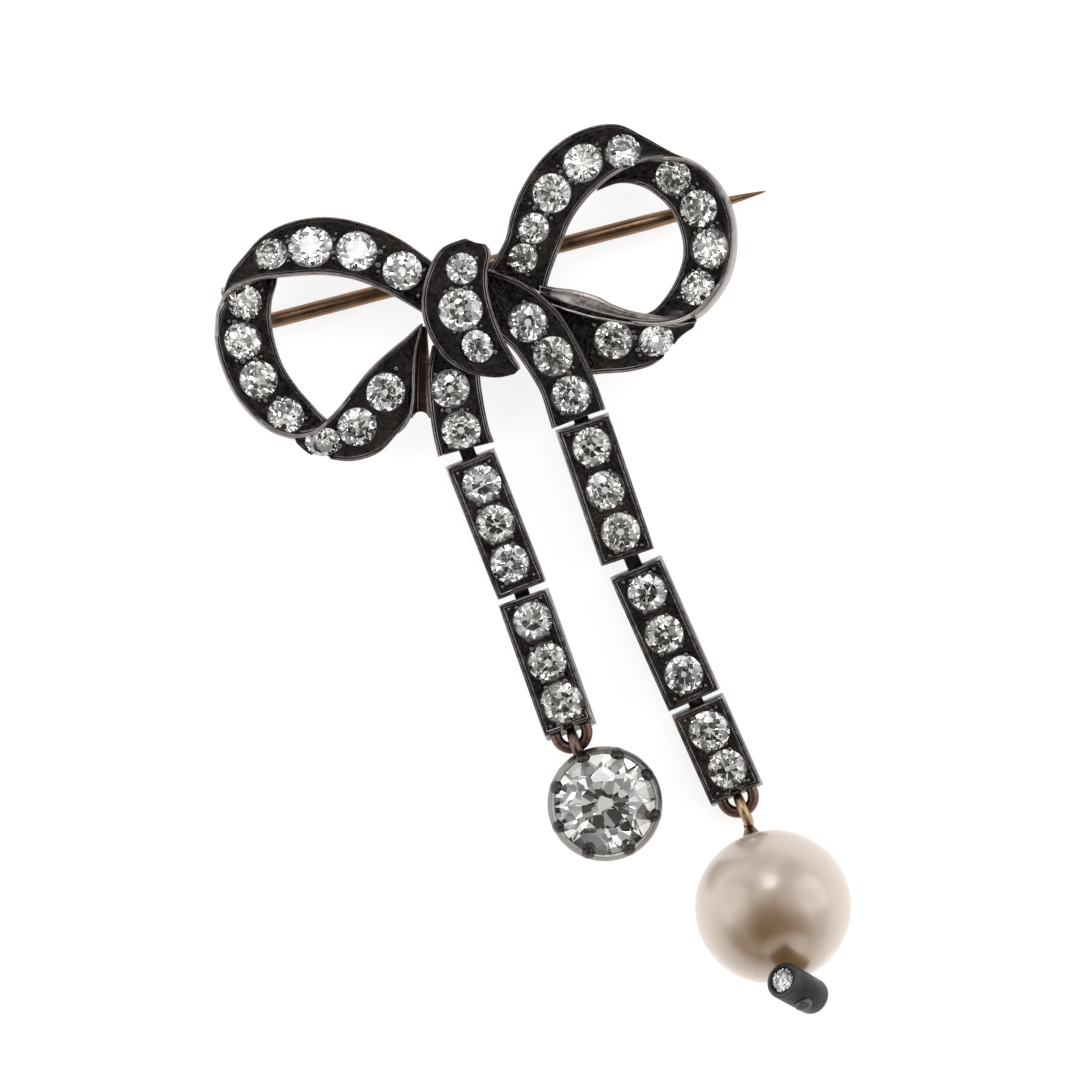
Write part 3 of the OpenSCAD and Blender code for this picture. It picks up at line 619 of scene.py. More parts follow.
def finish_ribbons(name, solids, sets, **wear_and_sheen):
    """Runs soldered into one, bored for their stones, beaded and set. Gives the stones' places."""
    places = ribbon_places(sets)
    finish_metal(cut_and_join(name, solids, bore(places), **wear_and_sheen), dark_silver, "bow_frame")
    finish_grains(name + "_grains", sets)
    finish_stones(gather_stones(places), name + "_cut_stones", name + "_stones")
    return places


left_sets = (
    (left_top_rows, left_top_stones), (left_end_rows, left_end_stones),
    (left_foot_rows, left_foot_stones),
)
left_runs = [sweep_ribbon(rows) for rows in (left_top_rows, left_foot_rows)]
left_runs.append(sweep_ribbon(left_end_rows, flare=0.14))
left_runs += [fold_thread(points) for points in left_threads]
# walls: the flaring outer walls are lightened as a painted reflection of the pale floor.
finish_ribbons("left_loop", left_runs, left_sets, walls=0.17)

# ----------------
# Right loop of the bow: the same ribbon in four runs. The plain turned band in front of the foot
# run is polished and has no channel.
right_top_rows = [
    (0.083, 0.515, 0.169, 0.434, 0.74, 0.74),
    (0.130, 0.555, 0.191, 0.467, 0.75, 0.77),
    (0.157, 0.596, 0.234, 0.517, 0.76, 0.81),
    (0.190, 0.634, 0.262, 0.548, 0.76, 0.85),
    (0.241, 0.673, 0.302, 0.576, 0.76, 0.90),
    (0.297, 0.697, 0.346, 0.595, 0.76, 0.92),
    (0.357, 0.703, 0.391, 0.605, 0.75, 0.94),
    (0.409, 0.689, 0.428, 0.606, 0.74, 0.94),
    (0.445, 0.652, 0.461, 0.599, 0.75, 0.93),
    (0.475, 0.616, 0.486, 0.589, 0.79, 0.92),
    (0.501, 0.586, 0.506, 0.577, 0.85, 0.91),
]
right_end_rows = [
    (0.378, 0.637, 0.326, 0.584, 0.74, 0.64),
    (0.436, 0.628, 0.371, 0.584, 0.77, 0.64),
    (0.480, 0.602, 0.406, 0.566, 0.83, 0.66),
    (0.520, 0.564, 0.429, 0.539, 0.89, 0.68),
    (0.544, 0.513, 0.445, 0.504, 0.92, 0.70),
    (0.548, 0.456, 0.449, 0.459, 0.92, 0.71),
    (0.534, 0.404, 0.439, 0.416, 0.92, 0.72),
    (0.508, 0.359, 0.416, 0.383, 0.92, 0.72),
    (0.472, 0.326, 0.386, 0.356, 0.92, 0.73),
    (0.426, 0.303, 0.355, 0.338, 0.92, 0.75),
    (0.383, 0.301, 0.329, 0.334, 0.90, 0.77),
]
right_fold_rows = [
    (0.422, 0.305, 0.423, 0.297, 0.91, 0.92),
    (0.381, 0.311, 0.379, 0.298, 0.90, 0.92),
    (0.347, 0.326, 0.341, 0.305, 0.92, 0.92),
    (0.311, 0.346, 0.301, 0.322, 0.93, 0.91),
    (0.282, 0.369, 0.265, 0.342, 0.93, 0.90),
    (0.259, 0.394, 0.233, 0.361, 0.92, 0.89),
    (0.223, 0.421, 0.202, 0.384, 0.87, 0.85),
    (0.190, 0.438, 0.181, 0.401, 0.79, 0.77),
    (0.164, 0.454, 0.156, 0.422, 0.74, 0.72),
]
right_foot_rows = [
    (0.419, 0.287, 0.409, 0.277, 0.83, 0.79),
    (0.389, 0.294, 0.379, 0.268, 0.83, 0.66),
    (0.358, 0.306, 0.350, 0.250, 0.85, 0.58),
    (0.322, 0.325, 0.313, 0.238, 0.85, 0.61),
    (0.284, 0.345, 0.269, 0.241, 0.83, 0.67),
    (0.247, 0.367, 0.226, 0.253, 0.79, 0.66),
    (0.201, 0.398, 0.187, 0.265, 0.75, 0.64),
    (0.174, 0.422, 0.157, 0.284, 0.74, 0.63),
]
right_threads = [
    [(0.460, 0.598, 0.940), (0.486, 0.588, 0.932), (0.506, 0.575, 0.917), (0.527, 0.551, 0.909),
     (0.541, 0.520, 0.917), (0.546, 0.483, 0.925)],
    [(0.492, 0.345, 0.925), (0.462, 0.324, 0.926), (0.433, 0.308, 0.930), (0.406, 0.301, 0.932),
     (0.377, 0.301, 0.930), (0.341, 0.309, 0.925), (0.304, 0.328, 0.917)],
]
right_top_stones = [
    (0.089, 0.433, 0.74), (0.195, 0.444, 0.78), (0.346, 0.471, 1.00), (0.495, 0.501, 1.02),
    (0.646, 0.646, 0.96),
]
right_end_stones = [
    (0.282, 0.510, 0.91), (0.444, 0.552, 0.96), (0.599, 0.489, 1.00), (0.769, 0.490, 0.91)
]
right_foot_stones = [(0.352, 0.567, 0.91), (0.640, 0.444, 0.98)]


def band_section(width, thick, lean, sunk):
    """Section of the plain band: a crowned polished face between a soft upper edge and a thread."""
    edge, thread_w = 0.09, 0.18
    near = [
        (lean, -thick), (lean * 0.4, -thick * 0.5), (0.0, -0.22), (0.01, -0.12), (0.04, -0.05),
        (edge, -0.01),
    ]
    swell = [(0.16, 0.02), (0.28, 0.05), (0.42, 0.07), (0.56, 0.06), (0.7, 0.02), (0.8, -0.05)]
    face = [(edge + (width - edge - thread_w) * s, h * min(1.0, width)) for s, h in swell]
    thread = min(1.0, width / 0.5)
    side = thread_side(2.0, thick, lean, 0.2)
    crest = [(width - s * thread, h * thread) for s, h in side[8:2:-1]]
    wall = [(width - s, h) for s, h in side[2::-1]]
    return near + face + crest + wall + [(width / 2, -thick)]


right_sets = (
    (right_top_rows, right_top_stones), (right_end_rows, right_end_stones),
    (right_foot_rows, right_foot_stones),
)
right_runs = [sweep_ribbon(rows) for rows in (right_top_rows, right_foot_rows)]
right_runs.append(sweep_ribbon(right_end_rows, flare=0.38))
right_runs.append(sweep_ribbon(right_fold_rows, section=band_section, lean=0.05))
right_runs += [fold_thread(points) for points in right_threads]
# Spots along the middle of the polished band, where the metal is lightened as a painted sheen over
# its real polish.
polished = [
    lay_on(right_fold_rows, 0.12 + 0.1 * k, 0.5, 0).translation / 1000 for k in range(8)
]
# walls: flaring walls lightened as a painted floor reflection; polished: the painted sheen spots.
right_places = finish_ribbons("right_loop", right_runs, right_sets, walls=0.14, polished=polished)

# ----------------
# Knot: a deep leaf of the same ribbon soldered over the middle, with three stones, the highest
# part of the bow.
knot_rows = [
    (0.062, 0.584, 0.096, 0.559, 0.89, 0.87),
    (0.011, 0.580, 0.098, 0.539, 0.94, 0.92),
    (-0.031, 0.541, 0.079, 0.505, 0.98, 0.94),
    (-0.058, 0.494, 0.068, 0.464, 1.00, 0.95),
    (-0.065, 0.440, 0.065, 0.415, 1.00, 0.95),
    (-0.052, 0.383, 0.067, 0.372, 0.98, 0.93),
    (-0.017, 0.340, 0.072, 0.342, 0.93, 0.90),
    (0.026, 0.316, 0.076, 0.327, 0.87, 0.85),
    (0.061, 0.310, 0.077, 0.317, 0.82, 0.82),
]
knot_sets = ((knot_rows, [(0.215, 0.551, 0.80), (0.420, 0.551, 1.13), (0.608, 0.573, 0.85)]),)
finish_ribbons("knot", [sweep_ribbon(knot_rows, thick=2.1, lean=0.05)], knot_sets)

# ----------------
# Tail roots: two short ribbons from under the knot, and the plain fold between the left one and
# the left loop. Each ends in a tongue whose eye holds the first plate of its chain.
left_tail_rows = [
    (-0.066, 0.416, 0.026, 0.393, 0.75, 0.75),
    (-0.092, 0.372, 0.002, 0.337, 0.74, 0.74),
    (-0.108, 0.321, -0.010, 0.287, 0.71, 0.71),
    (-0.121, 0.265, -0.018, 0.234, 0.66, 0.66),
    (-0.128, 0.214, -0.018, 0.204, 0.61, 0.61),
]
right_tail_rows = [
    (0.082, 0.514, 0.043, 0.462, 0.81, 0.75),
    (0.130, 0.474, 0.055, 0.398, 0.85, 0.75),
    (0.165, 0.425, 0.075, 0.355, 0.87, 0.75),
    (0.186, 0.373, 0.087, 0.311, 0.85, 0.73),
    (0.197, 0.303, 0.096, 0.263, 0.79, 0.70),
    (0.202, 0.240, 0.095, 0.223, 0.70, 0.64),
    (0.202, 0.190, 0.093, 0.190, 0.62, 0.60),
]
fold_rows = [
    (-0.074, 0.458, -0.063, 0.454, 0.66, 0.66),
    (-0.106, 0.407, -0.080, 0.397, 0.62, 0.62),
    (-0.129, 0.355, -0.099, 0.344, 0.60, 0.60),
    (-0.152, 0.302, -0.115, 0.289, 0.60, 0.60),
]
tail_sets = {
    "left_tail": ((left_tail_rows, [(0.405, 0.421, 0.98), (0.775, 0.499, 1.00)]),),
    "right_tail": (
        (right_tail_rows, [(0.318, 0.508, 1.00), (0.571, 0.501, 1.02), (0.821, 0.488, 1.02)]),
    ),
}
# Link: how far its bar lies inside the next plate and below its face, its width and its radii
link_in, link_drop, link_w = 0.36, 0.95, 0.9
link_eye_r, link_hole_r, link_bar_r, tongue_t = 0.3, 0.19, 0.13, 0.4
# Plates: top end, then heights of top and foot in bow heights, turn and roll, length and width
plate_lies = {
    "left_plate_1": ((-2.2392, 5.8779), (0.59, 0.49, 1.5, 0.0), 8.35, 3.02),
    "left_plate_2": ((-2.1419, -2.8025), (0.48, 0.56, -0.4, -3.0), 8.24, 3.02),
    "right_plate_1": ((4.7272, 5.6291), (0.59, 0.51, -1.2, 0.0), 8.39, 3.25),
    "right_plate_2": ((4.7257, -3.5129), (0.49, 0.45, 3.9, -3.0), 8.56, 3.25),
    "right_plate_3": ((5.3764, -12.4694), (0.44, 0.41, 3.9, -3.0), 5.66, 3.25),
}


def plate_frame(name):
    """A plate's axes: its top end on the front face, Y toward the bow, Z out of the face."""
    top, (high, low, turn, roll), length, _ = plate_lies[name]
    return (
        Matrix.Translation(Vector((top[0], top[1], high * bow_h)) + middle)
        @ rotation(turn, "Z")
        @ Matrix.Rotation(-math.asin((low - high) * bow_h / length), 4, "X")
        @ rotation(roll, "Y")
    )


def rod(radius, length, segments=32):
    """A straight round wire along Z."""
    bm = bmesh.new()
    bmesh.ops.create_cone(
        bm, cap_ends=True, segments=segments, radius1=radius, radius2=radius, depth=length
    )
    return bm


def block(size, at):
    """A plain block."""
    bm = bmesh.new()
    bmesh.ops.create_cube(bm, size=1)
    bmesh.ops.scale(bm, vec=size, verts=bm.verts)
    return moved(bm, shift(*at))


def tongue_solids(name, reach):
    """The flat tongue and its rolled eye, which reach into the slot at a plate's top end."""
    eye = moved(rod(link_eye_r, link_w), rotation(90, "Y"))
    flat = block((link_w, link_in + reach, tongue_t), (0, (link_in + reach) / 2, 0))
    bmesh.ops.bevel(
        flat, geom=flat.edges[:], offset=0.05, segments=2, profile=0.5, affect="EDGES", material=-1
    )
    hole = moved(rod(link_hole_r, link_w + 1, 24), rotation(90, "Y"))
    axes = plate_frame(name) @ shift(0, -link_in, -link_drop)
    return [moved(eye, axes), moved(flat, axes)], [moved(hole, axes)]


for name, plate, reach in (
    ("left_tail", "left_plate_1", 1.0), ("right_tail", "right_plate_1", 0.7)
):
    rows = tail_sets[name][0][0]
    places = ribbon_places(tail_sets[name])
    solids, holes = tongue_solids(plate, reach)
    tail = cut_and_join(name, [sweep_ribbon(rows)] + solids, bore(places) + holes)
    finish_metal(tail, dark_silver, "bow_frame")
    finish_stones(gather_stones(places), name + "_cut_stones", name + "_stones")
finish_grains("tail_grains", tail_sets["left_tail"] + tail_sets["right_tail"])


def fold_section(width, thick, lean, sunk):
    """Section of the plain fold: a sunk strip with one thin raised line along it."""
    line = [(0.26, 0.0), (0.3, 0.1), (0.34, 0.17), (0.38, 0.17), (0.42, 0.1), (0.46, 0.0)]
    face = [(0.0, 0.0)] + [(s * width, h) for s, h in line] + [(width * 0.75, 0.0), (width, 0.0)]
    return [(0.0, -thick)] + face + [(width, -thick), (width / 2, -thick)]


copper_fold = silver_finish(
    "bare_copper", recess=(0.035, 0.024, 0.022), face=(0.075, 0.052, 0.046), worn=(0.52, 0.36, 0.3),
    spotted=0.6,
)
arch_at = Vector((-0.135 * bow_w, 0.2917 * bow_w, 2.5)) + middle
arch = moved(rod(0.5, 4, 40), shift(*arch_at))
fold = cut_and_join("fold", [sweep_ribbon(fold_rows, thick=0.9, section=fold_section)], [arch])
finish_metal(fold, copper_fold, "bow_frame")

# ----------------
# Tail plates: five box plates of oxidised silver, milled out between thin threads and set with two
# or three stones each. A slot and a cross bar at the top end hook into the tongue before it.
plate_thick = 1.7
plate_sunk = 0.28
loop_out, loop_r, loop_wire, loop_leg = 0.27, 0.93, 0.68, 0.57
# Stones: share along the plate, share across it from the middle, width in usual stones
plate_sets = {
    "left_plate_1": [(0.195, 0.03, 1.0), (0.491, 0.0, 1.0), (0.790, -0.03, 1.0)],
    "left_plate_2": [(0.184, 0.03, 1.0), (0.498, 0.03, 1.0), (0.809, 0.04, 1.1)],
    "right_plate_1": [(0.181, 0.02, 1.0), (0.501, 0.0, 1.0), (0.816, 0.02, 1.0)],
    "right_plate_2": [(0.185, 0.02, 1.0), (0.499, -0.01, 1.0), (0.808, 0.02, 1.0)],
    "right_plate_3": [(0.284, 0.02, 1.05), (0.726, 0.04, 1.0)],
}


def box_plate(length, width, foot):
    """A block with leaning walls, thread rims and a channel cut down inside them."""
    wider, longer = 0.1, 0.07
    rim_steps = (0.13, 0.0), (0.045, -0.075), (0.05, 0.025), (0.06, -0.02), (0.2, -0.15)
    bm = bmesh.new()
    bmesh.ops.create_cube(bm, size=1)
    for v in bm.verts:
        at_top, base = v.co.y > 0, v.co.z < 0
        past = (longer if at_top else -max(foot, longer)) if base else 0
        v.co = (
            v.co.x * (width + (wider if base else 0)),
            past if at_top else -length + past,
            -plate_thick if base else 0,
        )
    top = max(bm.faces, key=lambda f: f.calc_center_median().z)
    for inset, drop in rim_steps:
        bmesh.ops.inset_individual(
            bm, faces=[top], thickness=inset, depth=drop, use_even_offset=True
        )
    sharp = [e for e in bm.edges if e.calc_face_angle(0) > math.radians(60)]
    bmesh.ops.bevel(
        bm, geom=sharp, offset=0.045, segments=2, profile=0.5, affect="EDGES", material=-1,
        clamp_overlap=True,
    )
    for _ in range(2):
        long_edges = [e for e in bm.edges if e.calc_length() > 0.9]
        if long_edges:
            bmesh.ops.subdivide_edges(bm, edges=long_edges, cuts=2, use_grid_fill=True)
    bmesh.ops.recalc_face_normals(bm, faces=bm.faces)
    return bm


def wire_end(radius, wire):
    """The round section of a wire, standing away from the Z axis."""
    bm = bmesh.new()
    bmesh.ops.create_circle(bm, segments=16, radius=wire / 2)
    return moved(moved(bm, rotation(90, "X")), shift(radius, 0, 0))


def bent_loop(radius, wire, leg):
    """A half-round wire loop with two straight legs, open end toward Y."""
    bm = wire_end(radius, wire)
    bmesh.ops.spin(
        bm, geom=bm.verts[:] + bm.edges[:], axis=(0, 0, -1), cent=(0, 0, 0), steps=24, angle=math.pi
    )
    ends = [e for e in bm.edges if e.is_boundary]
    grown = bmesh.ops.extrude_edge_only(bm, edges=ends)["geom"]
    bmesh.ops.translate(
        bm, vec=(0, leg, 0), verts=[g for g in grown if isinstance(g, bmesh.types.BMVert)]
    )
    return sealed(bm)


dark_copper = silver_finish(
    "dark_copper", recess=(0.03, 0.018, 0.014), face=(0.078, 0.048, 0.04),
    worn=(0.26, 0.165, 0.135), spotted=0.5,
)
plate_grains = bmesh.new()
# Beads of a plate: to the side, in from the stone's edge and down, then the same at its ends
bead_side, bead_in, bead_down = 0.62, 0.12, 0.17
end_side, end_out, end_down, end_bead = 1.0, 1.12, 0.2, 0.13
brow_r, brow_wire, brow_leg = 0.4, 0.17, 0.04
slot_play, slot_len, slot_from, slot_high = 0.16, 2.0, 0.38, 0.8
next_plate = {
    "left_plate_1": ("left_plate_2", 0.8), "right_plate_1": ("right_plate_2", 1.1),
    "right_plate_2": ("right_plate_3", 0.8),
}
for name, (_, _, length, width) in plate_lies.items():
    last = name not in next_plate
    stones = plate_sets[name]
    axes = plate_frame(name)
    slot_at = (0, -link_in - slot_from + slot_len / 2, -link_drop)
    slot = block((link_w + slot_play, slot_len, slot_high), slot_at)
    places = [
        (shift(x * width, -s * length, -plate_sunk), share * usual_stone) for s, x, share in stones
    ]
    solids, cutters = [box_plate(length, width, 0.3 if last else 0.0)], [slot] + bore(places)
    bar = moved(rod(link_bar_r, link_w + 0.4, 28), rotation(90, "Y"))
    wires = [moved(bar, shift(0, -link_in, -link_drop))]
    if last:
        brow = moved(bent_loop(brow_r, brow_wire, brow_leg), rotation(180, "Z"))
        solids.append(moved(brow, shift(0, -length - 0.02, -0.05)))
        drop_loop = bent_loop(loop_r, loop_wire, loop_leg)
        wires.append(moved(drop_loop, shift(0, -length - loop_out, -plate_thick / 2)))
    for bm in solids + cutters + wires:
        moved(bm, axes)
    plate = cut_and_join(name + "_box", solids, cutters)
    link_holes = []
    if not last:
        tongue, link_holes = tongue_solids(*next_plate[name])
        wires += tongue
    links_piece = cut_and_join(name + "_links", wires, link_holes)
    finish_metal(plate, dark_silver, name)
    finish_metal(links_piece, dark_copper if last else dark_silver)
    finish_stones(
        gather_stones([(axes @ m, w) for m, w in places]), name + "_cut_stones", name + "_stones"
    )
    for s, x, share in stones:
        half = share * usual_stone / 2
        for way in (-1, 1):
            for side in (-1, 1):
                y = -s * length + way * (half - bead_in)
                at = shift(x * width + side * bead_side, y, -bead_down)
                add_grain(plate_grains, axes @ at, chance.uniform(0.13, 0.18))
    for s, way in ((stones[0][0], 1), (stones[-1][0], -1)):
        for side in (-1, 1):
            at = shift(side * end_side, -s * length + way * end_out, -end_down)
            add_grain(plate_grains, axes @ at, end_bead)
finish_metal(as_object(plate_grains, "plate_grains"), bead_silver)

# ----------------
# Claw-set drop: a tapering collet of paler silver, spun up, with eight cut-down claws over one
# large old-cut stone, hung from its plate by a round ring.
collet_at = Vector((-1.7236, -15.9358, 0)) + middle
collet_r = 3.4
girdle_at = 3.35
drop_stone_r = 2.95
claw_in, claw_height, claw_lean, claw_wear = 0.34, 3.33, -14, 0.07
ring_out, ring_r, ring_wire = 1.15, 0.8, 0.6
claw_turns = [56, 15, -33, -82, -129, -174, 141, 95]
pale_silver = silver_finish(
    "pale_silver", recess=(0.09, 0.085, 0.08), face=(0.24, 0.225, 0.218), worn=(0.44, 0.42, 0.405),
    rough=(0.22, 0.4), spots=(0.2, 0.17, 0.15),
)
# Wall of the collet: how far inside its radius, and height
collet_wall = moved(turned([(collet_r - inside, z) for inside, z in (
    (1.3, 0.02), (1.24, 0.0), (0.9, 0.0), (0.84, 0.03), (0.55, 1.1), (0.3, 2.0), (0.14, 2.6),
    (0.03, 3.05), (0, 3.2), (0.05, 3.36), (0.27, 3.68), (0.34, 3.75), (0.4, 3.73), (0.42, 3.6),
    (0.42, 3.4), (0.42, 3.28), (0.75, 2.6), (1.05, 1.3),
)], closed=True), shift(*collet_at))
claws = []
for turn in claw_turns:
    claw = bmesh.new()
    bmesh.ops.create_uvsphere(claw, u_segments=16, v_segments=12, radius=0.5)
    bmesh.ops.scale(claw, vec=(0.68, 0.96, 1.4), verts=claw.verts)
    spot = rotation(turn, "Z") @ shift(collet_r - claw_in, 0, claw_height)
    claws.append(moved(claw, shift(*collet_at) @ spot @ rotation(claw_lean, "Y")))
collet = cut_and_join("collet", [collet_wall])
finish_metal(collet, pale_silver, "drop_collet", slot="pale_silver")
claw_piece = cut_and_join("collet_claws", claws)
rubbed = claw_piece.data.attributes["wear_and_sheen"].data
rubbed.foreach_set("value", [claw_wear] * len(rubbed))
finish_metal(claw_piece, bead_silver)


def hung_ring(plate):
    """The round ring that hangs in the wire loop of a last plate, standing along the plate."""
    hoop = spun(wire_end(ring_r, ring_wire), 40)
    place = shift(0, -plate_lies[plate][2] - ring_out, -plate_thick / 2)
    return moved(moved(moved(hoop, rotation(90, "Y")), place), plate_frame(plate))


collet_ring = as_object(hung_ring("left_plate_2"), "collet_ring")
finish_metal(collet_ring, dark_copper, slot="pale_silver")
drop = bmesh.new()
drop.from_mesh(cut_stone(0.47, 35.5, 40.6, 0.12))
stone_place = shift(*(collet_at + Vector((0, 0, girdle_at))))
moved(drop, stone_place @ Matrix.Rotation(0.9, 4, "Z") @ Matrix.Scale(drop_stone_r, 4))
finish_stones(drop, "drop_cut_stone", "drop_stone")

# ----------------
# Pearl drop: a slightly flattened brown pearl, drilled through, on a rose-gold post that is looped
# to its plate, with a short silver tube across the far end and one stone in the tube's face.
pearl_d = 9.2
post_tilt = 35.0
post_turn = -4.0
hole_r = 0.36
pearl_at = Vector((5.5141, -24.9265, pearl_d / 2)) + middle
post_axes = shift(*pearl_at) @ rotation(post_turn, "Z") @ rotation(90 - post_tilt, "X")
pearl = bmesh.new()
bmesh.ops.create_uvsphere(pearl, u_segments=128, v_segments=80, radius=pearl_d / 2)
for v in pearl.verts:
    v.co *= 1.012 - 0.01 * (1 - noise.noise(v.co * 0.32)) - 0.003 * noise.noise(v.co * 1.1)
bmesh.ops.scale(pearl, vec=(1.0, 1.0, 0.965), verts=pearl.verts)
drill = rod(hole_r, 12)
pearl_piece = cut_and_join("pearl_body", [moved(pearl, post_axes)], [moved(drill, post_axes)])
smooth_faces(pearl_piece, 50)
nacre, tree, shader = new_material("nacre")
where = add_node(tree, "TexCoord", {}, "Object")


def away_from(at):
    """How far a point of the pearl is from a place."""
    return add_node(tree, "VectorMath", {0: where, 1: at / 1000}, "Value", operation="DISTANCE")


# Painted reflection: body is a clouded dark brown laid over the lower middle of the pearl in place
# of the dim front of the tent mirrored in the nacre; it fades out to the pale rim colour.
clouds = add_noise(tree, where, 260, 4)
body = add_ramp(tree, clouds, (0.3, (0.24, 0.125, 0.04)), (0.7, (0.3, 0.165, 0.068)))
dark_reflection_distance = away_from(pearl_at + Vector((-1.1, -1.75, 4.2)))
out_of_dark_reflection = add_range(tree, dark_reflection_distance, 0.0006, 0.005, interpolation_type="SMOOTHSTEP")
# Painted glow: a warm orange light laid into the colour round the drill hole, in place of light
# shining through the nacre there.
painted_glow_by_hole = add_range(tree, away_from(post_axes @ Vector((0, 0, 4.5))), 0.0004, 0.0022, 0.5, 0.0)
# rim: the pearl's pale colour away from the painted dark reflection.
rim = add_mix(tree, out_of_dark_reflection, body, (0.62, 0.505, 0.41))
fill(tree, shader, {
    "Metallic": 0.15,
    "Roughness": 0.38,
    "Coat Weight": 1.0,
    "Coat IOR": 2.0,
    "Coat Roughness": 0.24,
    "Base Color": add_mix(tree, painted_glow_by_hole, rim, (0.8, 0.45, 0.2)),
    "Normal": add_bump(tree, add_noise(tree, where, 1400, 3), 0.1, 0.00005),
})
pearl_piece.data.materials.clear()
pearl_piece.data.materials.append(nacre)
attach(pearl_piece, "brooch")
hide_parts("pearl")

rose_gold = silver_finish(
    "rose_gold", recess=(0.12, 0.068, 0.04), face=(0.3, 0.185, 0.108), worn=(0.6, 0.42, 0.27),
    rough=(0.24, 0.4), spots=(0.12, 0.055, 0.036), spotted=0.7, pits=0.00003,
)
post = turned([
    (0.0, -5.95), (0.27, -5.95), (0.3, -5.9), (0.3, -5.62), (0.32, -5.6), (0.7, -4.7),
    (0.75, -4.66), (0.74, -4.6), (0.3, -4.55), (0.3, 6.7), (0.3, 6.8), (0.45, 6.8), (0.475, 6.86),
    (0.4, 6.93), (0.2, 6.95), (0.0, 6.955),
], 40)
post_piece = cut_and_join("post_and_ring", [moved(post, post_axes), hung_ring("right_plate_3")])
finish_metal(post_piece, rose_gold, "pearl_post", slot="rose_gold")
cap_r, cap_gap = 1.025, 0.08
cap_turn, cap_stone_at, cap_stone_w = 27, 1.72, 1.4
cap_out = pearl_d / 2 + cap_r + cap_gap
cap_axes = post_axes @ shift(0, 0, cap_out) @ rotation(cap_turn, "Z") @ rotation(-90, "X")
cap_place = cap_axes @ shift(0, 0, cap_stone_at)
tube = turned([
    (0.0, -1.8), (0.75, -1.8), (0.92, -1.74), (1.02, -1.62), (1.07, -1.45), (1.08, 0.0),
    (1.08, 1.6), (1.06, 1.7), (1.01, 1.76), (0.93, 1.8), (0.0, 1.8),
], 56)
through = moved(rod(hole_r, 9), post_axes @ shift(0, 0, 4.5))
face_seat = moved(seat_cutter(0.74, 0.8), cap_place)
cap = cut_and_join("cap_tube", [moved(tube, cap_axes)], [through, face_seat])
grey_silver = silver_finish(
    "grey_silver", recess=(0.02, 0.02, 0.02), face=(0.031, 0.032, 0.032), worn=(0.13, 0.13, 0.128),
    rough=(0.36, 0.52), spots=(0.03, 0.028, 0.026),
)
finish_metal(cap, grey_silver, "pearl_cap")
head = turned([
    (0.0, 6.62), (0.5, 6.62), (0.52, 6.76), (0.49, 6.88), (0.38, 6.97), (0.2, 7.03), (0.0, 7.05)
], 32)
finish_metal(as_object(moved(head, post_axes), "rivet_head"), grey_silver)
finish_stones(gather_stones([(cap_place, cap_stone_w)]), "cap_cut_stone", "cap_stone")

# ----------------
# Pin: a straight rose-gold wire behind both loops, riveted between two slanted ears and lying in
# an open hook. Ears, pad and hook are soldered to the back of the loops.
hinge_at = Vector((-0.3945 * bow_w, 0.5747 * bow_w, 1.05)) + middle
pin_turn = -5.3
hinge_slant = 40
eye_r, eye_len = 0.65, 0.8
rivet_hole_r = 0.34
ear_t, ear_out = 0.35, 0.625
arm_mid, arm_slant = 2.3, 0.4
catch_at, catch_len = 27.4, 2.0
mouth_reach, mouth_half, mouth_turn = 3.0, 50, 40
pin_axes = shift(*hinge_at) @ rotation(pin_turn, "Z")
hinge_axes = pin_axes @ rotation(hinge_slant, "X")
ears = []
for side in (-1, 1):
    arm_len = arm_mid - arm_slant * side
    ear_axes = hinge_axes @ shift(0, 0, side * ear_out)
    ears.append(moved(rod(eye_r, ear_t, 40), ear_axes))
    ears.append(moved(block((2 * eye_r, arm_len, ear_t), (0, arm_len / 2, 0)), ear_axes))
pad = moved(block((1.9, 1.85, 1.1), (0.3, 1.375, 1.45)), pin_axes)
ear_hole = moved(rod(rivet_hole_r, 5), hinge_axes)
hinge_ears = cut_and_join("hinge_ears", ears + [pad], [ear_hole])
finish_metal(hinge_ears, dark_silver, "bow_frame")
hook_axes = pin_axes @ shift(catch_at, 0, 0) @ rotation(90, "Y")
hook = turned([
    (0.6, 0.03), (0.63, 0.0), (0.95, 0.0), (0.98, 0.03), (0.98, catch_len - 0.03),
    (0.95, catch_len), (0.63, catch_len), (0.6, catch_len - 0.03),
], 64, closed=True)
mouth = bmesh.new()
tip_x = mouth_reach * math.cos(math.radians(mouth_half))
tip_y = mouth_reach * math.sin(math.radians(mouth_half))
mouth.faces.new([
    mouth.verts.new((x, y, -1)) for x, y in ((0, 0), (tip_x, -tip_y), (5, 0), (tip_x, tip_y))
])
grown = bmesh.ops.extrude_face_region(mouth, geom=mouth.faces[:])["geom"]
bmesh.ops.translate(
    mouth, vec=(0, 0, 4), verts=[g for g in grown if isinstance(g, bmesh.types.BMVert)]
)
bmesh.ops.recalc_face_normals(mouth, faces=mouth.faces)
moved(mouth, hook_axes @ rotation(mouth_turn, "Z"))
hook_piece = cut_and_join("pin_hook", [moved(hook, hook_axes)], [mouth])
finish_metal(hook_piece, dark_silver, "bow_frame")
stem_block = moved(block((1.75, 0.6, catch_len), (-1.575, 0, catch_len / 2)), hook_axes)
finish_metal(cut_and_join("hook_stem", [stem_block], bore(right_places)), dark_silver)
stem = turned([
    (0.0, 0.3), (0.3, 0.32), (0.38, 0.5), (0.4, 1.0), (0.46, 1.5),
    *((0.47, 2.0 + 1.2 * k) for k in range(20)), (0.44, 26.0), (0.39, 27.5), (0.31, 29.0),
    (0.25, 30.1), (0.17, 31.0), (0.09, 31.8), (0.04, 32.1), (0.0, 32.2),
], 40)
moved(stem, pin_axes @ rotation(90, "Y"))
flat_eye = moved(rod(eye_r, eye_len, 40), hinge_axes)
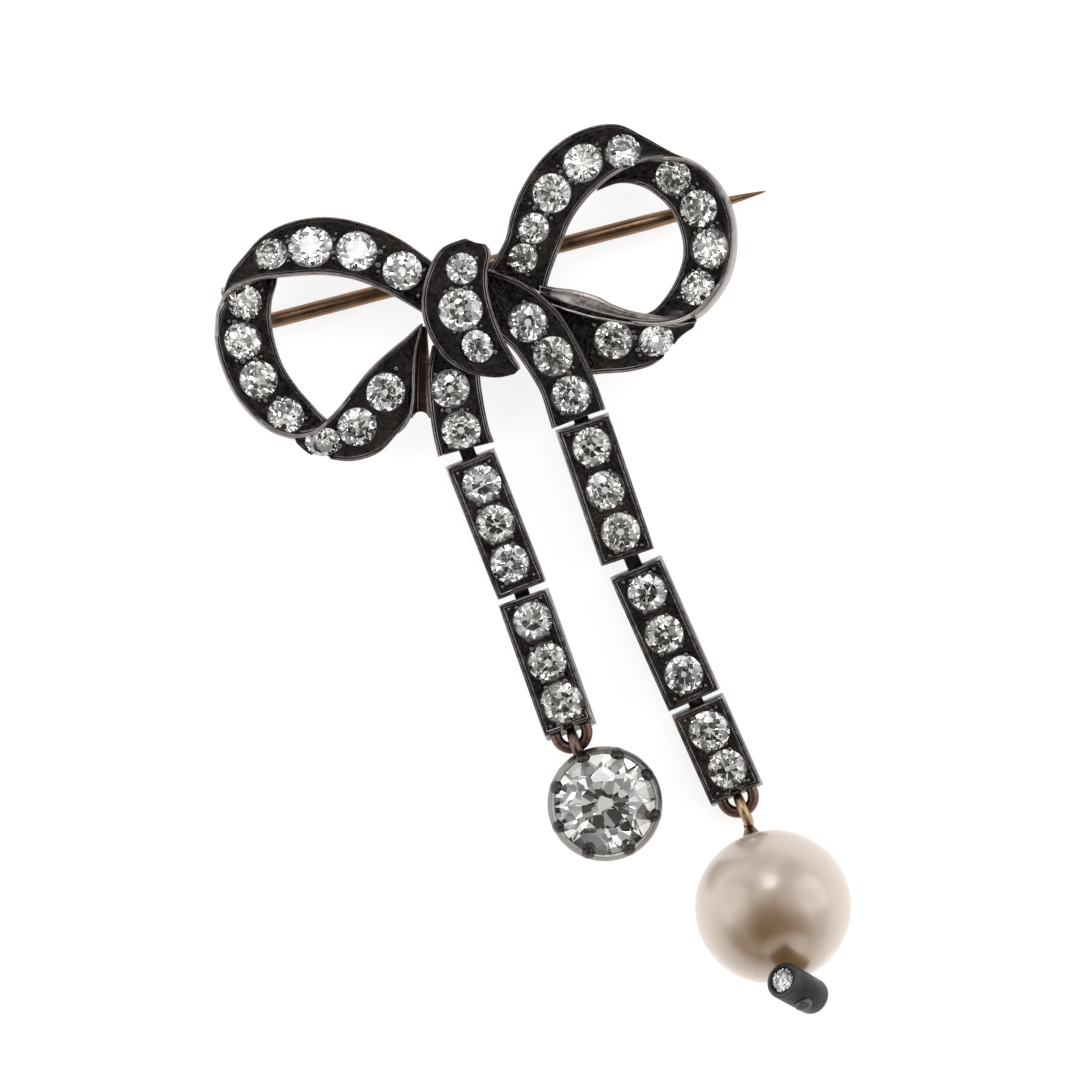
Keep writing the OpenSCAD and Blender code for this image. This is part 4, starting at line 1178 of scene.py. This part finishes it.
neck = moved(block((1.3, 0.76, eye_len), (0.65, 0, 0)), hinge_axes)
rivet_hole = moved(rod(rivet_hole_r, 4), hinge_axes)
pin = cut_and_join("pin_wire", [stem, flat_eye, neck], [rivet_hole])
finish_metal(pin, rose_gold, "pin_stem", slot="rose_gold", body="pin")
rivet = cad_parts["hinge_rivet"]
rivet.data.materials.clear()
rivet.data.materials.append(rose_gold)

# ----------------
# Studio: a pale lit paper floor in a bright tent, dim in front where the camera stands, and four
# round soft boxes: a small one past the bow, one at each side and one past the drops.
floor_bm = bmesh.new()
bmesh.ops.create_grid(floor_bm, x_segments=2, y_segments=2, size=600)
floor = as_object(moved(floor_bm, shift(0, 0, -0.02)), "studio_floor")
paper, tree, sheet = new_material("white_paper")
fill(tree, sheet, {
    "Base Color": (0.5, 0.5, 0.5, 1),
    "Roughness": 0.9,
    "Specular IOR Level": 0.1,
    "Emission Color": (1, 1, 1, 1),
    "Emission Strength": 0.78,
})
floor.data.materials.append(paper)
world = bpy.data.worlds.new("tent")
bpy.context.scene.world = world
world.use_nodes = True
tree = world.node_tree
where = add_node(tree, "TexCoord", {}, "Generated")
to_camera = {0: where, 1: (-0.17, -0.47, 0.866)}
toward = add_node(tree, "VectorMath", to_camera, "Value", operation="DOT_PRODUCT")
panels = add_noise(tree, where, 2.6, 1)
fill(tree, tree.nodes["Background"], {
    "Color": add_ramp(tree, toward, (0.74, (0.7, 0.7, 0.7)), (0.90, (0.08, 0.073, 0.07))),
    "Strength": add_range(tree, panels, 0.44, 0.54, 0.35, 1.3),
})
for name, at, size, power in (
    ("top_soft_box", (0.03, 0.17, 0.235), 0.12, 0.13),
    ("left_soft_box", (-0.25, 0.09, 0.14), 0.32, 0.26),
    ("right_soft_box", (0.25, -0.02, 0.16), 0.32, 0.26),
    ("low_soft_box", (-0.02, -0.27, 0.12), 0.25, 0.15),
):
    data = bpy.data.lights.new(name, "AREA")
    data.shape = "DISK"
    data.size = size
    data.energy = power
    light = bpy.data.objects.new(name, data)
    light.location = at
    light.rotation_euler = (-Vector(at)).to_track_quat("-Z", "Y").to_euler()
    bpy.context.scene.collection.objects.link(light)
bpy.context.scene.view_settings.view_transform = "Standard"
